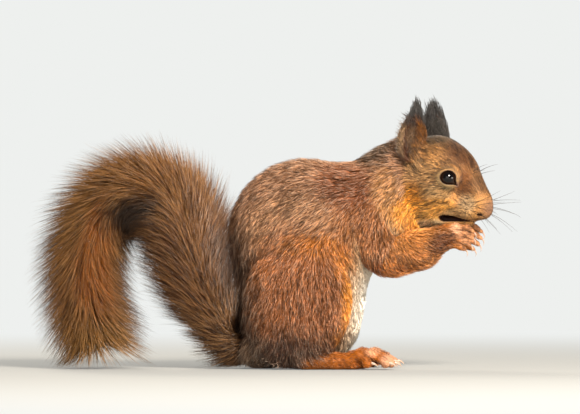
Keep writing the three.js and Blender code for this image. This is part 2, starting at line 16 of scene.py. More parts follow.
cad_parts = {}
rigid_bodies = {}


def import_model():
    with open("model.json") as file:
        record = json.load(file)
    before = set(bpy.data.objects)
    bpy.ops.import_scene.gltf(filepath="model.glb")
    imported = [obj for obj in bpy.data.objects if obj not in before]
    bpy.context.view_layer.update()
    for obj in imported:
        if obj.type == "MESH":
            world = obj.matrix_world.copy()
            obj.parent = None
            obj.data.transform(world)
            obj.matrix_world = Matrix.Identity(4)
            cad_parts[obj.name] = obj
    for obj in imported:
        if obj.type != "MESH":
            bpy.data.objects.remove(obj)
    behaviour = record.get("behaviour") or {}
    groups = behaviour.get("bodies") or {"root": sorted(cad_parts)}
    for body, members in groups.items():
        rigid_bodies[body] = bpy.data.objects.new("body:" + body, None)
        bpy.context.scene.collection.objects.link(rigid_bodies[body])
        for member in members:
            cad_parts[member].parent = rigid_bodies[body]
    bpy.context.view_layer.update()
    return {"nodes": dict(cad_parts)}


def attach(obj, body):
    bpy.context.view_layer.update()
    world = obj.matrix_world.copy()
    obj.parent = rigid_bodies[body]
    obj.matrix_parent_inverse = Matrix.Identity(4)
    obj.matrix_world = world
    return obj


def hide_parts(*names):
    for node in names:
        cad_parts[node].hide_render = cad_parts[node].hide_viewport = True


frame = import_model()
print("packed nodes:", len(frame["nodes"]))

# %% [markdown]
# ## Small tools
# Lengths are in millimetres, as a taxidermist would measure them, and become metres only when
# a mesh is made. Colours are written as sRGB hex values and turned to linear in one place.

# %% Units, colours and chance
MM = 0.001
rng = np.random.default_rng(20)


def linear(hex_colour):
    srgb = np.array([int(hex_colour[i:i + 2], 16) / 255 for i in (1, 3, 5)])
    return np.where(srgb <= 0.04045, srgb / 12.92, ((srgb + 0.055) / 1.055) ** 2.4)


def brightness(colour):
    """How bright linear colours look."""
    return colour @ np.array([0.3, 0.6, 0.1])


def unit(v):
    v = np.asarray(v, float)
    return v / np.maximum(np.linalg.norm(v, axis=-1, keepdims=True), 1e-9)


def smooth_step(low, high, x):
    t = np.clip((x - low) / (high - low), 0, 1)
    return t * t * (3 - 2 * t)


def band(start, full, fade, end, x):
    """0, rising to 1 between start and full, and falling to 0 between fade and end."""
    return smooth_step(start, full, x) * (1 - smooth_step(fade, end, x))


print("orange in linear light:", linear("#d78734").round(3))

# %% [markdown]
# ## The body as distances
# A squirrel has no flat faces to extrude. Sculpting by hand can't be repeated by a script, and
# metaballs give little say over where two forms meet. So each form is a distance function:
# below zero inside the flesh, above zero outside, and about as many millimetres away as the
# number says. Forms melt into each other where their distances are nearly equal.

# %% Round cones and ellipsoids
def round_cone(a, ra, b, rb, wide=1.0):
    """A ball rolled from a to b while its radius changes. wide is width over height."""
    a, b = np.array(a, float), np.array(b, float)
    squeeze = np.array([1, 1 / wide, 1])
    axis = (b - a) * squeeze
    l2, rr = axis @ axis, ra - rb
    a2 = l2 - rr * rr

    def shape(p):
        q = (p - a) * squeeze
        along = q @ axis
        beyond = along - l2
        x2 = ((q * l2 - along[:, None] * axis) ** 2).sum(1)
        y2, z2 = along * along * l2, beyond * beyond * l2
        k = np.sign(rr) * rr * rr * x2
        side = (np.sqrt(x2 * a2 / l2) + along * rr) / l2 - ra
        before = np.sqrt(x2 + y2) / l2 - ra
        past = np.sqrt(x2 + z2) / l2 - rb
        side = np.where(np.sign(along) * a2 * y2 < k, before, side)
        return np.where(np.sign(beyond) * a2 * z2 > k, past, side)

    return shape


def ellipsoid(centre, radii, lean=0.0):
    """An ellipsoid, turned about Y by lean degrees, top forward."""
    centre, radii = np.array(centre, float), np.array(radii, float)
    c, s = math.cos(math.radians(lean)), math.sin(math.radians(lean))

    def shape(p):
        d = p - centre
        q = np.stack([d[:, 0] * c - d[:, 2] * s, d[:, 1], d[:, 0] * s + d[:, 2] * c], 1)
        k0 = np.sqrt(((q / radii) ** 2).sum(1))
        k1 = np.sqrt(((q / radii**2) ** 2).sum(1))
        return k0 * (k0 - 1) / np.maximum(k1, 1e-9)

    return shape


test = round_cone([0, 0, 0], 2, [10, 0, 0], 1)(np.array([[5.0, 3, 0]]))
print("distance beside a small cone:", test.round(2), "mm")


# %% How forms join and how they are carved
def join(soft, *distances):
    """The nearest of several distances, with a fillet of about soft between them."""
    d = distances[0]
    for e in distances[1:]:
        h = np.maximum(soft - np.abs(d - e), 0) / soft
        d = np.minimum(d, e) - h * h * soft / 4
    return d


def carve(soft, d, cutter):
    """Takes the cutter out of a form, with an edge rounded by about soft."""
    return -join(soft, -d, cutter)


def chain(points, soft=2.0, wide=1.0):
    """Balls [x, y, z, radius] joined in a row."""
    links = [round_cone(a[:3], a[3], b[:3], b[3], wide) for a, b in zip(points, points[1:])]
    return lambda p: join(soft, *[link(p) for link in links])


NOT_NEAR = 60.0


def only_near(low, high, shape):
    """Works a small form out only inside a box round it, to save time."""
    low, high = np.array(low, float), np.array(high, float)

    def local(p):
        inside = ((p > low) & (p < high)).all(1)
        d = np.full(len(p), NOT_NEAR)
        if inside.any():
            d[inside] = shape(p[inside])
        return d

    return local


print("halfway between two forms 1 mm away, softness 2:", join(2, 1.0, 1.0), "mm")

# %% [markdown]
# ## Trunk, legs and arms
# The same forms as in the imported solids, which reach to the tips of the fur, but drawn in by
# the depth of the coat: 4.5 mm on the back and flanks, 2.3 mm on the forearms, and about half
# a millimetre on the hands and feet.

# %% Body forms
COAT_BACK, COAT_SHOULDER, COAT_RUMP = 4.5, 4.0, 3.0
COAT_ARM, COAT_HAND, COAT_FOOT = 2.3, 0.35, 0.5

trunk_forms = [
    round_cone([18.5, 0, 34], 35, [21.5, 0, 73], 41, 0.74),
    round_cone([21.5, 0, 73], 41, [53, 0, 87], 26, 0.78),
    round_cone([53, 0, 87], 26.5, [70, 0, 99], 22, 0.82),
]
throat_form = round_cone([65, -3, 84], 15.5, [78, -8, 84.5], 10.4)
thigh_form = ellipsoid([17.5, 22.8, 37], [31, 14.5, 38.5], 8)
rump_form = ellipsoid([0, 11, 11.5], [13, 13, 11.5])
upper_arm_form = round_cone([55, 15, 84], 14, [61.5, 17, 64.5], 12.5, 0.8)
neck_forms = [
    round_cone([68, 0, 98.5], 21.5, [86, 0, 103], 20, 0.84),
    round_cone([70, 0, 106], 16.8, [81, 0, 110.5], 17.6, 0.84),
]


def folded(p):
    """The left side laid over the right, for forms that are the same on both."""
    return np.stack([p[:, 0], np.abs(p[:, 1]), p[:, 2]], 1)


def trunk(p):
    d = join(8, *[form(p) for form in trunk_forms]) + COAT_BACK
    return join(5, d, throat_form(p), rump_form(folded(p)) + COAT_RUMP)


def thighs(p):
    return thigh_form(folded(p)) + COAT_BACK


def upper_arms(p):
    return upper_arm_form(folded(p)) + COAT_SHOULDER


def neck(p):
    return join(6, *[form(p) for form in neck_forms]) + COAT_SHOULDER


print("trunk depth at its middle:", trunk(np.array([[20.0, 0, 60]])).round(1), "mm")

# %% Forearms
HAND_MID_Y, HAND_OFFSET, LEFT_HAND_FORWARD = -11.5, 5.4, 5.0
ARM_BOX = [50, -42, 38], [125, 45, 95]


def forearm(side):
    forward = LEFT_HAND_FORWARD if side > 0 else 0
    wrist_y = HAND_MID_Y + side * (HAND_OFFSET + 0.8)
    elbow, wrist = [68, side * 17, 61.8], [98.5 + forward, wrist_y, 73]
    middle = [84, (elbow[1] + wrist_y) / 2, 66]
    upper = round_cone(elbow, 11.2, middle, 10.2, 0.85)
    lower = round_cone(middle, 10.2, wrist, 6.6, 0.85)
    return lambda p: join(5, upper(p), lower(p)) + COAT_ARM


forearm_right = only_near(*ARM_BOX, forearm(-1))
forearm_left = only_near(*ARM_BOX, forearm(1))
print("each forearm is worked out inside", ARM_BOX)

# %% Hands
# For each finger: knuckle, joint and tip (x and z), and how far the tip spreads outwards.
FINGERS = [
    [[103.2, 77.8], [109.6, 77.6], [113.2, 75.2], 1.2],
    [[102.8, 74.2], [109.6, 73.8], [112.9, 71.6], 0.4],
    [[102.4, 70.8], [108.6, 70], [111.4, 68.2], -0.4],
    [[101.8, 68], [106.2, 66.8], [108.6, 65.6], -1.2],
]


def finger(knuckle, joint, tip, fan):
    y = HAND_OFFSET
    return chain([
        [knuckle[0] - 2, y + 0.6, knuckle[1], 1.8],
        [knuckle[0] + 0.6, y + 1.1, knuckle[1] + 0.2, 2.2],
        [(knuckle[0] + joint[0]) / 2, y + 1.4, (knuckle[1] + joint[1]) / 2, 1.55],
        [joint[0], y + 1.3, joint[1], 1.85],
        [tip[0], y + fan, tip[1], 1.4],
    ], 0.6)


palm = chain([[94.5, 6.2, 71.6, 4.8], [99, 5.4, 73, 6.0], [103.2, 5.4, 72.9, 5.6]], 2, 0.56)
finger_forms = [finger(*f) for f in FINGERS]


def hand_frame(p):
    """Both hands laid over each other: y is measured out from between them."""
    out = p[:, 1] - HAND_MID_Y
    x = p[:, 0] - LEFT_HAND_FORWARD * (out > 0)
    return np.stack([x, np.abs(out), p[:, 2]], 1)


def hands_shape(p):
    q = hand_frame(p)
    fingers = np.min([form(q) for form in finger_forms], axis=0)
    return join(1.4, palm(q), fingers) + COAT_HAND


hands = only_near([82, -32, 52], [128, 12, 90], hands_shape)
print("fingers:", len(finger_forms), "a hand")

# %% Feet
FOOT_SPREAD, LEFT_FOOT_FORWARD = 23.0, 2.5
# For each toe: how far inwards its knuckle and its tip lie, then where they are along x.
TOES = [
    [6.2, 8.2, 52, 59.5],
    [3.2, 4.4, 57, 67.5],
    [0, 0.2, 58.5, 69.5],
    [-3.4, -4.4, 57, 66.5],
    [-6.6, -8.2, 50.5, 56.5],
]


def toe(out0, out1, x0, x1):
    return chain([
        [x0 - 6, FOOT_SPREAD - out0 * 0.75, 5.2, 2.4],
        [x0, FOOT_SPREAD - out0, 8.1, 2.9],
        [(x0 + x1) / 2 + 0.5, FOOT_SPREAD - (out0 + out1) / 2, 6.0, 2.3],
        [x1 - 1.2, FOOT_SPREAD - out1, 3.1, 2.8],
    ], 0.6)


sole = chain([
    [18.5, FOOT_SPREAD, 4.2, 3.6],
    [22, FOOT_SPREAD, 4.4, 5.2],
    [38, FOOT_SPREAD, 4.2, 4.8],
    [47, FOOT_SPREAD, 4.2, 4.6],
    [53, FOOT_SPREAD, 4.0, 4.2],
], 2, 1.45)
toe_forms = [toe(*t) for t in TOES]


def foot_frame(p):
    """Both feet laid over each other."""
    x = p[:, 0] - LEFT_FOOT_FORWARD * (p[:, 1] > 0)
    return np.stack([x, np.abs(p[:, 1]), p[:, 2]], 1)


def feet_shape(p):
    q = foot_frame(p)
    toes = np.min([form(q) for form in toe_forms], axis=0)
    return join(1.8, sole(q), toes) + COAT_FOOT


feet = only_near([6, -44, -12], [86, 44, 20], feet_shape)
print("toes:", len(toe_forms), "a foot")

# %% [markdown]
# ## Head
# Everything on the head is drawn looking straight ahead, so that one side can be laid over the
# other, and is then turned 20 degrees about the neck. The coat is about 3 mm deep behind the
# cheeks and thins to less than 1 mm on the muzzle.

# %% The turn of the head
NECK_PIVOT_X, HEAD_YAW = 78.0, math.radians(20)
COS_YAW, SIN_YAW = math.cos(HEAD_YAW), math.sin(HEAD_YAW)


def to_head(p):
    """From the model's frame to the head looking straight ahead."""
    dx, y = p[:, 0] - NECK_PIVOT_X, p[:, 1]
    x = NECK_PIVOT_X + dx * COS_YAW - y * SIN_YAW
    return np.stack([x, dx * SIN_YAW + y * COS_YAW, p[:, 2]], 1)


def turn_vectors(v):
    """A direction on the straight head, turned with it."""
    x, y = v[:, 0], v[:, 1]
    return np.stack([x * COS_YAW + y * SIN_YAW, y * COS_YAW - x * SIN_YAW, v[:, 2]], 1)


def from_head(p):
    pivot = np.array([NECK_PIVOT_X, 0, 0])
    return turn_vectors(np.asarray(p, float) - pivot) + pivot


print("straight ahead, turned with the head:", turn_vectors(np.array([[1.0, 0, 0]])).round(2))

# %% Head forms
EYE, EYE_RADIUS = np.array([105.2, 11.8, 104.4]), 5.4
LID_DEPTH, LID_PLACE, LID_THICK, SOCKET_GAP = 0.9, 0.75, 0.6, 0.12
skull_forms = [
    ellipsoid([92.5, 0, 106.7], [22.3, 18.4, 23.0]),
    ellipsoid([94, 0, 94], [20.5, 19, 14.6]),
    ellipsoid([88.5, 7.5, 86.6], [12.5, 9.5, 8.4]),
    round_cone([104.6, 0, 104.9], 15.2, [118.6, 0, 92], 7.8, 0.84),
    round_cone([119, 0, 90.4], 6.2, [122.2, 0, 86.9], 4.7, 0.9),
    ellipsoid([112.5, 0, 88.4], [10, 8.6, 6.4]),
    round_cone([88.5, 0, 86.4], 9.4, [112.5, 0, 79.4], 2.4, 1.15),
]
whisker_pad = ellipsoid([113.2, 5.2, 86.4], [6.8, 4.9, 5.0], 12)
snout_dent = ellipsoid([114.6, 12.6, 98.0], [6.4, 4.9, 6.0], 30)
cheek_fold = chain([[92, 17.8, 90.2, 0.3], [99, 16.5, 91.0, 0.4], [106, 13.0, 90.4, 0.3]], 0.5)
gape = round_cone([101.4, 0, 82.8], 2.3, [115, 0, 81.2], 0.45, 6.0)
tongue = round_cone([98.5, 0, 82.2], 2.6, [114.5, 0, 80.8], 1.6, 1.5)
nostril = chain([[122.6, 2.8, 85.6, 0.6], [121.2, 4.0, 84.6, 1.0], [119.6, 4.8, 85.0, 0.6]], 0.5)
nose_fold = chain([[119.8, 4.9, 84.8, 0.6], [118.9, 6.0, 87.0, 0.7], [117.0, 7.2, 90.0, 0.4]], 0.5)
lip_groove = round_cone([125.4, 0, 84.6], 0.5, [120.4, 0, 81.0], 0.6)

EYE_AXIS = unit([0.35, 0.93, 0.12])
EYE_FORWARD = unit(np.array([1, 0, 0]) - EYE_AXIS * EYE_AXIS[0])
EYE_UP = np.cross(EYE_FORWARD, EYE_AXIS)


def coat_on_head(q):
    """Depth of the coat: least on the muzzle and under the chin."""
    depth = 3.2 - 2.4 * smooth_step(84, 112, q[:, 0])
    return depth * (0.35 + 0.65 * smooth_step(79, 89, q[:, 2]))


def eye_opening(q):
    """Inside the lids: an oval with a narrow corner towards the nose."""
    d = q - EYE
    forward, up, out = d @ EYE_FORWARD, d @ EYE_UP, d @ EYE_AXIS
    oval = (np.hypot((forward + 0.2) / 4.15, (up + 0.35) / 3.6) - 1) * 3.9
    t = np.clip((forward - 1.7) / 3.0, 0, 1)
    corner = np.hypot(forward - (1.7 + 3.0 * t), up + 1.4 + 2.3 * t) - (2.0 - 1.6 * t)
    return np.maximum(join(1.6, oval, corner), -out)


def head_shape(p):
    q = folded(to_head(p))
    d = join(6, *[form(q) for form in skull_forms]) + coat_on_head(q)
    d = carve(5.0, d, snout_dent(q))
    d = join(2.2, d, whisker_pad(q) + 0.8)
    d = carve(1.6, d, cheek_fold(q))
    ball, opening = np.linalg.norm(q - EYE, axis=1), eye_opening(q)
    d = join(3.0, d, ball - EYE_RADIUS - LID_DEPTH)
    lid_edge = np.hypot(opening - LID_PLACE, ball - EYE_RADIUS - LID_PLACE) - LID_THICK
    d = join(0.7, d, lid_edge)
    d = carve(0.5, d, opening)
    d = carve(0.2, d, ball - EYE_RADIUS - SOCKET_GAP)
    d = join(0.8, carve(0.9, d, gape(q)), tongue(q))
    d = carve(0.5, d, nostril(q))
    d = carve(0.7, d, nose_fold(q))
    return carve(0.8, d, lip_groove(q))


head = only_near([58, -45, 62], [140, 42, 142], head_shape)
print("eye looks along", EYE_AXIS.round(2), "on the straight head")

# %% [markdown]
# ## Ears
# Each ear is a thin scoop, open outwards and forwards, that comes to a soft point. The scoop is
# one ellipsoid, cut open at the front and hollowed by two others.

# %% Ear forms
EARS = {
    "right": {"side": -1, "foot": [84.8, 115.0], "top": [86.6, 137.0], "out": 14.6, "wide": 1.1},
    "left": {"side": 1, "foot": [90.6, 117.0], "top": [88.8, 136.0], "out": 14.4, "wide": 1.6},
}
EAR_TURN = math.radians(35)
EAR_HALF_HEIGHT, EAR_HALF_WIDTH, EAR_DEPTH = 13.2, 6.6, 3.4


def ear_frame(q, ear):
    """Across the ear, out of its opening, and up it, from a point on the straight head."""
    (foot_x, foot_z), (top_x, top_z) = ear["foot"], ear["top"]
    height = (q[:, 2] - foot_z) / (top_z - foot_z)
    across = q[:, 0] - (foot_x + (top_x - foot_x) * height)
    out = ear["side"] * q[:, 1] - ear["out"]
    c, s = math.cos(EAR_TURN), math.sin(EAR_TURN)
    up = q[:, 2] - (foot_z + top_z) / 2
    return np.stack([(across * c - out * s) / ear["wide"], across * s + out * c, up], 1)


ear_outside = ellipsoid([0, 0, 0], [EAR_HALF_WIDTH, EAR_DEPTH, EAR_HALF_HEIGHT])
ear_hollow = ellipsoid([0.2, 2.4, 0.4], [5.9, 4.2, 12.0])
ear_canal = ellipsoid([0.6, 0.4, -7.6], [2.4, 3.2, 4.2])


def ear_shape(side):
    ear = EARS[side]

    def shape(p):
        w = ear_frame(to_head(p), ear)
        w[:, 0] = w[:, 0] / (1.08 - 0.022 * np.maximum(w[:, 2], 0))
        d = -join(0.6, -ear_outside(w), -(w[:, 1] - 0.9))
        d = carve(0.8, d, ear_hollow(w))
        return carve(0.6, d, ear_canal(w))

    return shape


ear_right = only_near([64, -32, 104], [98, 2, 146], ear_shape("right"))
ear_left = only_near([76, -8, 104], [112, 26, 146], ear_shape("left"))
print("ears:", list(EARS))

# %% [markdown]
# ## Tail core and the whole skin
# Under its hair a squirrel's tail is a thin whip, 11 mm across at the root and 3 mm at the tip.
# It climbs behind the back, arches over and hangs down to the floor.

# %% Tail core
TAIL_PATH = np.array([
    [4, 22], [-14.3, 13.2], [-25.5, 27.5], [-33.6, 42.9], [-38.5, 57], [-41.8, 70.4], [-45.2, 80.5],
    [-50, 89.7], [-56.4, 95.2], [-63.8, 97.9], [-73.6, 98.2], [-83, 95.2], [-90.6, 87],
    [-95.7, 75.9], [-98.6, 65], [-99.6, 53.9], [-99.3, 43], [-97.9, 31.9], [-96.2, 23], [-94, 14],
], float)


def smooth_path(points, count, fineness=40):
    """Evenly spaced points on a smooth curve through the given ones."""
    t = np.linspace(0, len(points) - 1, fineness * len(points))
    i = np.clip(t.astype(int), 0, len(points) - 2)
    f = (t - i)[:, None]
    ends = np.vstack([2 * points[0] - points[1], points, 2 * points[-1] - points[-2]])
    a, b, c, d = ends[i], ends[i + 1], ends[i + 2], ends[i + 3]
    curve = 0.5 * (2 * b + (c - a) * f + (2 * a - 5 * b + 4 * c - d) * f**2
                   + (3 * b - a - 3 * c + d) * f**3)
    run = np.r_[0, np.cumsum(np.linalg.norm(np.diff(curve, axis=0), axis=1))]
    even = np.linspace(0, run[-1], count)
    return np.stack([np.interp(even, run, curve[:, k]) for k in range(curve.shape[1])], 1), run[-1]


CORE_POINTS, EVERY = 240, 9
core, TAIL_LENGTH = smooth_path(TAIL_PATH, CORE_POINTS)
core_along = unit(np.gradient(core, axis=0))
core_place = np.linspace(0, 1, CORE_POINTS)
core_radius = np.interp(core_place, [0, 0.12, 0.9, 1], [5.5, 4.2, 2.8, 1.6])
tail_core = chain([[x, 0, z, r] for (x, z), r in zip(core[::EVERY], core_radius[::EVERY])], 1.5)
PARTS = {
    "trunk": trunk,
    "thighs": thighs,
    "upper_arms": upper_arms,
    "neck": neck,
    "forearm_right": forearm_right,
    "forearm_left": forearm_left,
    "hands": hands,
    "feet": feet,
    "head": head,
    "ear_right": ear_right,
    "ear_left": ear_left,
    "tail": only_near([-115, -14, -4], [14, 14, 112], tail_core),
}
print("tail core:", round(TAIL_LENGTH), "mm long")


# %% The skin's distance
def skin_distance(p):
    d = {name: part(p) for name, part in PARTS.items()}
    body = join(2.5, d["trunk"], d["thighs"], d["upper_arms"])
    front = join(4, body, d["neck"], d["head"])
    ears = np.minimum(d["ear_right"], d["ear_left"])
    front = join(2.2, front, ears)
    front = join(3.5, front, d["forearm_right"])
    front = join(3.5, front, d["forearm_left"])
    front = join(2.5, front, d["feet"])
    front = join(2.0, front, d["hands"])
    return np.maximum(join(4, front, d["tail"]), -p[:, 2])


def in_pieces(function, p, size=150_000):
    return np.concatenate([function(p[i:i + size]) for i in range(0, len(p), size)])


def slope(p, step=0.15):
    """The skin's outward normal near a point."""
    base = in_pieces(skin_distance, p)
    sides = [in_pieces(skin_distance, p + step * np.eye(3)[k]) - base for k in range(3)]
    return unit(np.stack(sides, 1)), base


print("skin distance above the back:", skin_distance(np.array([[20.0, 0, 130]])).round(1), "mm")

# %% [markdown]
# ## A mesh over the skin
# A surface net puts one vertex in each cell that the surface crosses and joins neighbours with
# quads. The cells are about half a millimetre on the head and hands, where the lids and
# fingers need them, and up to 1.15 mm under the long coat. Cells far from the surface are
# skipped, a block at a time.

# %% Grid
def ticks(*spans):
    return np.concatenate([np.arange(a, b, s) for a, b, s in spans] + [[spans[-1][1]]])


BLOCK, FAR_AWAY = 6, 9
axes = [
    ticks((-112, 48, 1.15), (48, 72, 0.8), (72, 129, 0.45)),
    ticks((-42, -29, 1.0), (-29, 34, 0.5), (34, 42, 1.0)),
    ticks((-1.2, 12, 0.5), (12, 60, 1.15), (60, 142, 0.45)),
]


def whole_blocks(a):
    """Carries an axis on until its cells fill whole blocks."""
    short = (1 - len(a)) % BLOCK
    return np.r_[a, a[-1] + (a[-1] - a[-2]) * np.arange(1, short + 1)]


axes = [whole_blocks(a) for a in axes]
counts = [len(a) for a in axes]
print("grid:", counts)


# %% Distances near the surface
def fill_grid():
    value = np.empty(counts, np.float32)
    needed = np.zeros(counts, bool)
    starts = [np.arange(0, n - 1, BLOCK) for n in counts]
    middle = [(a[s] + a[s + BLOCK]) / 2 for a, s in zip(axes, starts)]
    half = [(a[s + BLOCK] - a[s]) / 2 for a, s in zip(axes, starts)]
    centre = np.stack(np.meshgrid(*middle, indexing="ij"), -1)
    reach = np.linalg.norm(np.stack(np.meshgrid(*half, indexing="ij"), -1), axis=-1)
    coarse = in_pieces(skin_distance, centre.reshape(-1, 3)).reshape(reach.shape)
    wide = np.repeat(np.repeat(np.repeat(coarse, BLOCK, 0), BLOCK, 1), BLOCK, 2)
    value[:-1, :-1, :-1] = wide
    value[-1], value[:, -1], value[:, :, -1] = FAR_AWAY, FAR_AWAY, FAR_AWAY
    for i, j, k in np.argwhere(np.abs(coarse) < 2.0 * reach) * BLOCK:
        needed[i:i + BLOCK + 1, j:j + BLOCK + 1, k:k + BLOCK + 1] = True
    where = np.argwhere(needed)
    points = np.stack([axes[d][where[:, d]] for d in range(3)], 1)
    value[needed] = in_pieces(skin_distance, points)
    print("distances worked out:", len(points), "of", value.size)
    return value


grid_value = fill_grid()


# %% Surface net
def surface_net(value):
    inside = value < 0
    corners = [(i, j, k) for i in (0, 1) for j in (0, 1) for k in (0, 1)]
    cut = tuple(n - 1 for n in counts)

    def corner(array, c):
        return array[c[0]:c[0] + cut[0], c[1]:c[1] + cut[1], c[2]:c[2] + cut[2]]

    total = sum(corner(inside, c).astype(np.int8) for c in corners)
    cells = np.argwhere((total > 0) & (total < 8))
    crossing, number = np.zeros((len(cells), 3)), np.zeros(len(cells))
    for a in corners:
        for axis in range(3):
            if a[axis]:
                continue
            b = tuple(1 if d == axis else a[d] for d in range(3))
            ia, ib = cells + a, cells + b
            va, vb = value[tuple(ia.T)], value[tuple(ib.T)]
            crosses = (va < 0) != (vb < 0)
            t = np.where(crosses, va / np.where(crosses, va - vb, 1), 0)
            for d in range(3):
                pa, pb = axes[d][ia[:, d]], axes[d][ib[:, d]]
                crossing[:, d] += np.where(crosses, pa + (pb - pa) * t, 0)
            number += crosses
    points = crossing / number[:, None]
    index = np.full(cut, -1, np.int32)
    index[tuple(cells.T)] = np.arange(len(cells))
    quads = []
    for axis in range(3):
        low = tuple(slice(0, -1) if d == axis else slice(1, -1) for d in range(3))
        high = tuple(slice(1, None) if d == axis else slice(1, -1) for d in range(3))
        edges = np.argwhere(inside[low] != inside[high])
        edges[:, (axis + 1) % 3] += 1
        edges[:, (axis + 2) % 3] += 1
        ring = []
        for u, v in ((0, 0), (1, 0), (1, 1), (0, 1)):
            cell = edges.copy()
            cell[:, (axis + 1) % 3] -= u
            cell[:, (axis + 2) % 3] -= v
            ring.append(index[tuple(cell.T)])
        ring = np.stack(ring, 1)
        outwards = ~inside[tuple(edges.T)]
        ring[outwards] = ring[outwards][:, ::-1]
        quads.append(ring[(ring >= 0).all(1)])
    return points, np.concatenate(quads)


print("cubes to look through:", math.prod(n - 1 for n in counts))

# %% Settle the skin on the surface
skin_points, skin_quads = surface_net(grid_value)
MOST_MOVE = 0.6
for _ in range(2):
    normals, distance = slope(skin_points)
    skin_points -= normals * np.clip(distance, -MOST_MOVE, MOST_MOVE)[:, None]
skin_points[:, 2] = np.maximum(skin_points[:, 2], 0)
skin_normals = slope(skin_points)[0]
part_names = list(PARTS)
part_distance = np.stack([in_pieces(PARTS[n], skin_points) for n in part_names], 1)
skin_part = part_distance.argmin(1)
print("skin:", len(skin_points), "points,", len(skin_quads), "quads")

# %% [markdown]
# ## Markings
# A red squirrel isn't one red. Its back is grizzled pinkish brown, its haunches chestnut, the
# throat and the front of the thigh orange, and the belly cream. The markings are painted
# like soft airbrush strokes, one over another: each has a middle, a reach and a colour. They
# are worked out from a place on the body, so the skin and the hair rooted there agree.

# %% Airbrush
RICHER = 1.15


def richer(colour):
    """Hair seen through hair deepens its own colour."""
    grey = brightness(colour)
    return np.maximum(grey[:, None] + RICHER * (colour - grey[:, None]), 0)


def airbrush(base, p, strokes):
    """Lays strokes [colour, centre, reach, strength] over a base colour at points p."""
    colour = np.tile(linear(base), (len(p), 1)) if isinstance(base, str) else base.copy()
    for paint, centre, reach, strength in strokes:
        far = np.linalg.norm((p - np.array(centre, float)) / np.array(reach, float), axis=1)
        amount = strength * (1 - smooth_step(0.55, 1.25, far))[:, None]
        colour += amount * (linear(paint) - colour)
    return colour


print("a grey and an orange, richer:", richer(np.array([[0.2] * 3, [0.6, 0.3, 0.1]])).round(2))

# %% Strokes of the airbrush: colour, centre, reach, strength
BODY_STROKES = [
    ["#c79a76", (16, 30, 80), (28, 26, 18), 0.8],       # flank, paler than the back
    ["#a86a40", (15, 34, 44), (36, 26, 38), 0.95],      # haunch
    # Painted shade: the next three strokes darken the back of the haunch, its lower part and the rump
    # behind it, where shade falls.
    ["#6a4022", (-9, 30, 38), (10, 20, 30), 0.9],       # behind the haunch
    ["#452a1b", (2, 24, 6), (44, 30, 22), 0.9],         # low on the haunch
    ["#53351f", (-17, 14, 46), (14, 26, 50), 0.9],      # rump, behind the haunch
    ["#7a604a", (-12, 14, 10), (16, 26, 16), 0.8],      # rump, beside the tail
    ["#c07c3e", (20, 34, 71), (12, 24, 7), 0.6],        # over the knee
    ["#cf8440", (33, 34, 70), (11, 24, 7), 0.75],
    ["#e89a50", (42, 32, 62), (8, 24, 11), 0.9],
    ["#f2a656", (47, 30, 48), (7, 24, 14), 1.0],        # front edge of the thigh
    ["#f4aa5c", (47, 30, 34), (7, 24, 14), 1.0],
    ["#cf8844", (43, 30, 20), (8, 24, 9), 0.8],
    ["#b4774a", (56, 24, 80), (20, 18, 20), 0.85],      # shoulder
    ["#84492a", (48, 19, 102), (19, 19, 14), 0.75],     # rufous band from the neck
    ["#cf9d6c", (68, 16, 98), (9, 12, 14), 0.85],       # side of the neck
    ["#453422", (66, 0, 118), (14, 15, 10), 0.85],      # nape
    ["#ffb45c", (78, 14, 85), (10, 18, 11), 1.0],       # throat
    ["#b0612c", (60, 24, 55), (20, 20, 8), 0.8],        # back of the elbow
]
BELLY_STROKES = [
    ["#ffd79a", (66, 0, 38), (30, 40, 50), 0.95],       # edge of the belly
    ["#fffaf0", (66, 0, 34), (27, 38, 46), 1.0],        # belly
    ["#fbe6c0", (70, 0, 66), (15, 14, 17), 0.9],        # chest
]
ARM_STROKES = [
    ["#d39258", (78, 16, 74), (22, 18, 9), 0.9],        # top of the forearm
    # Painted shade: the underside of the forearm and the place behind the wrist, under the hands, are
    # darkened as shade.
    ["#a8683a", (70, 22, 52), (24, 16, 9), 0.8],        # underside
    ["#63310f", (95, 15, 69), (13, 15, 10), 0.9],       # dark behind the wrist
    ["#ecd0a0", (66, 2, 62), (15, 10, 14), 0.9],        # inside, towards the chest
]
HEAD_STROKES = [
    ["#b6926a", (91, 18, 103), (12, 12, 12), 0.8],      # grey cheek
    ["#ad9069", (101, 16, 96), (9, 10, 5), 0.6],        # grey under the eye
    ["#dfa560", (98, 16, 89), (13, 12, 4.5), 0.9],      # yellowish lower cheek
    ["#d08c46", (80, 18, 89), (9, 14, 12), 0.85],       # back of the jaw
    ["#5e3a22", (111, 0, 116), (16, 16, 13), 0.95],     # forehead
    ["#64391b", (114, 9, 101), (6, 8, 8), 0.9],         # between the eye and the bridge
    ["#6e4e34", (120, 0, 101), (9, 8, 11), 0.95],       # bridge of the nose
    ["#5e4d38", (96, 2, 128), (14, 15, 8), 0.9],        # crown
    ["#544231", (80, 4, 120), (10, 16, 12), 0.7],       # nape
    ["#a58b6b", (115, 7, 90), (5.5, 6, 5.5), 0.9],      # whisker pad
    ["#be9b72", (109, 9, 84.5), (9, 8, 3.8), 0.9],      # upper lip
    ["#745748", (123, 0, 88), (6, 6, 7), 0.95],         # nose
    ["#e9b36c", (92, 14, 84), (9, 12, 7), 0.9],         # under the cheek
    ["#d9c3a0", (94, 8, 79.0), (8, 12, 4.0), 0.9],      # chin
    ["#e6a555", (85, 18, 92), (9, 14, 11), 0.9],        # cheek, low down and behind
]
print("strokes:", len(BODY_STROKES + BELLY_STROKES + ARM_STROKES + HEAD_STROKES))


# %% Markings of the head
def tinted(colour, hex_colour, amount):
    """Moves colours towards one paint, by an amount for each point."""
    return colour + amount[:, None] * (linear(hex_colour) - colour)


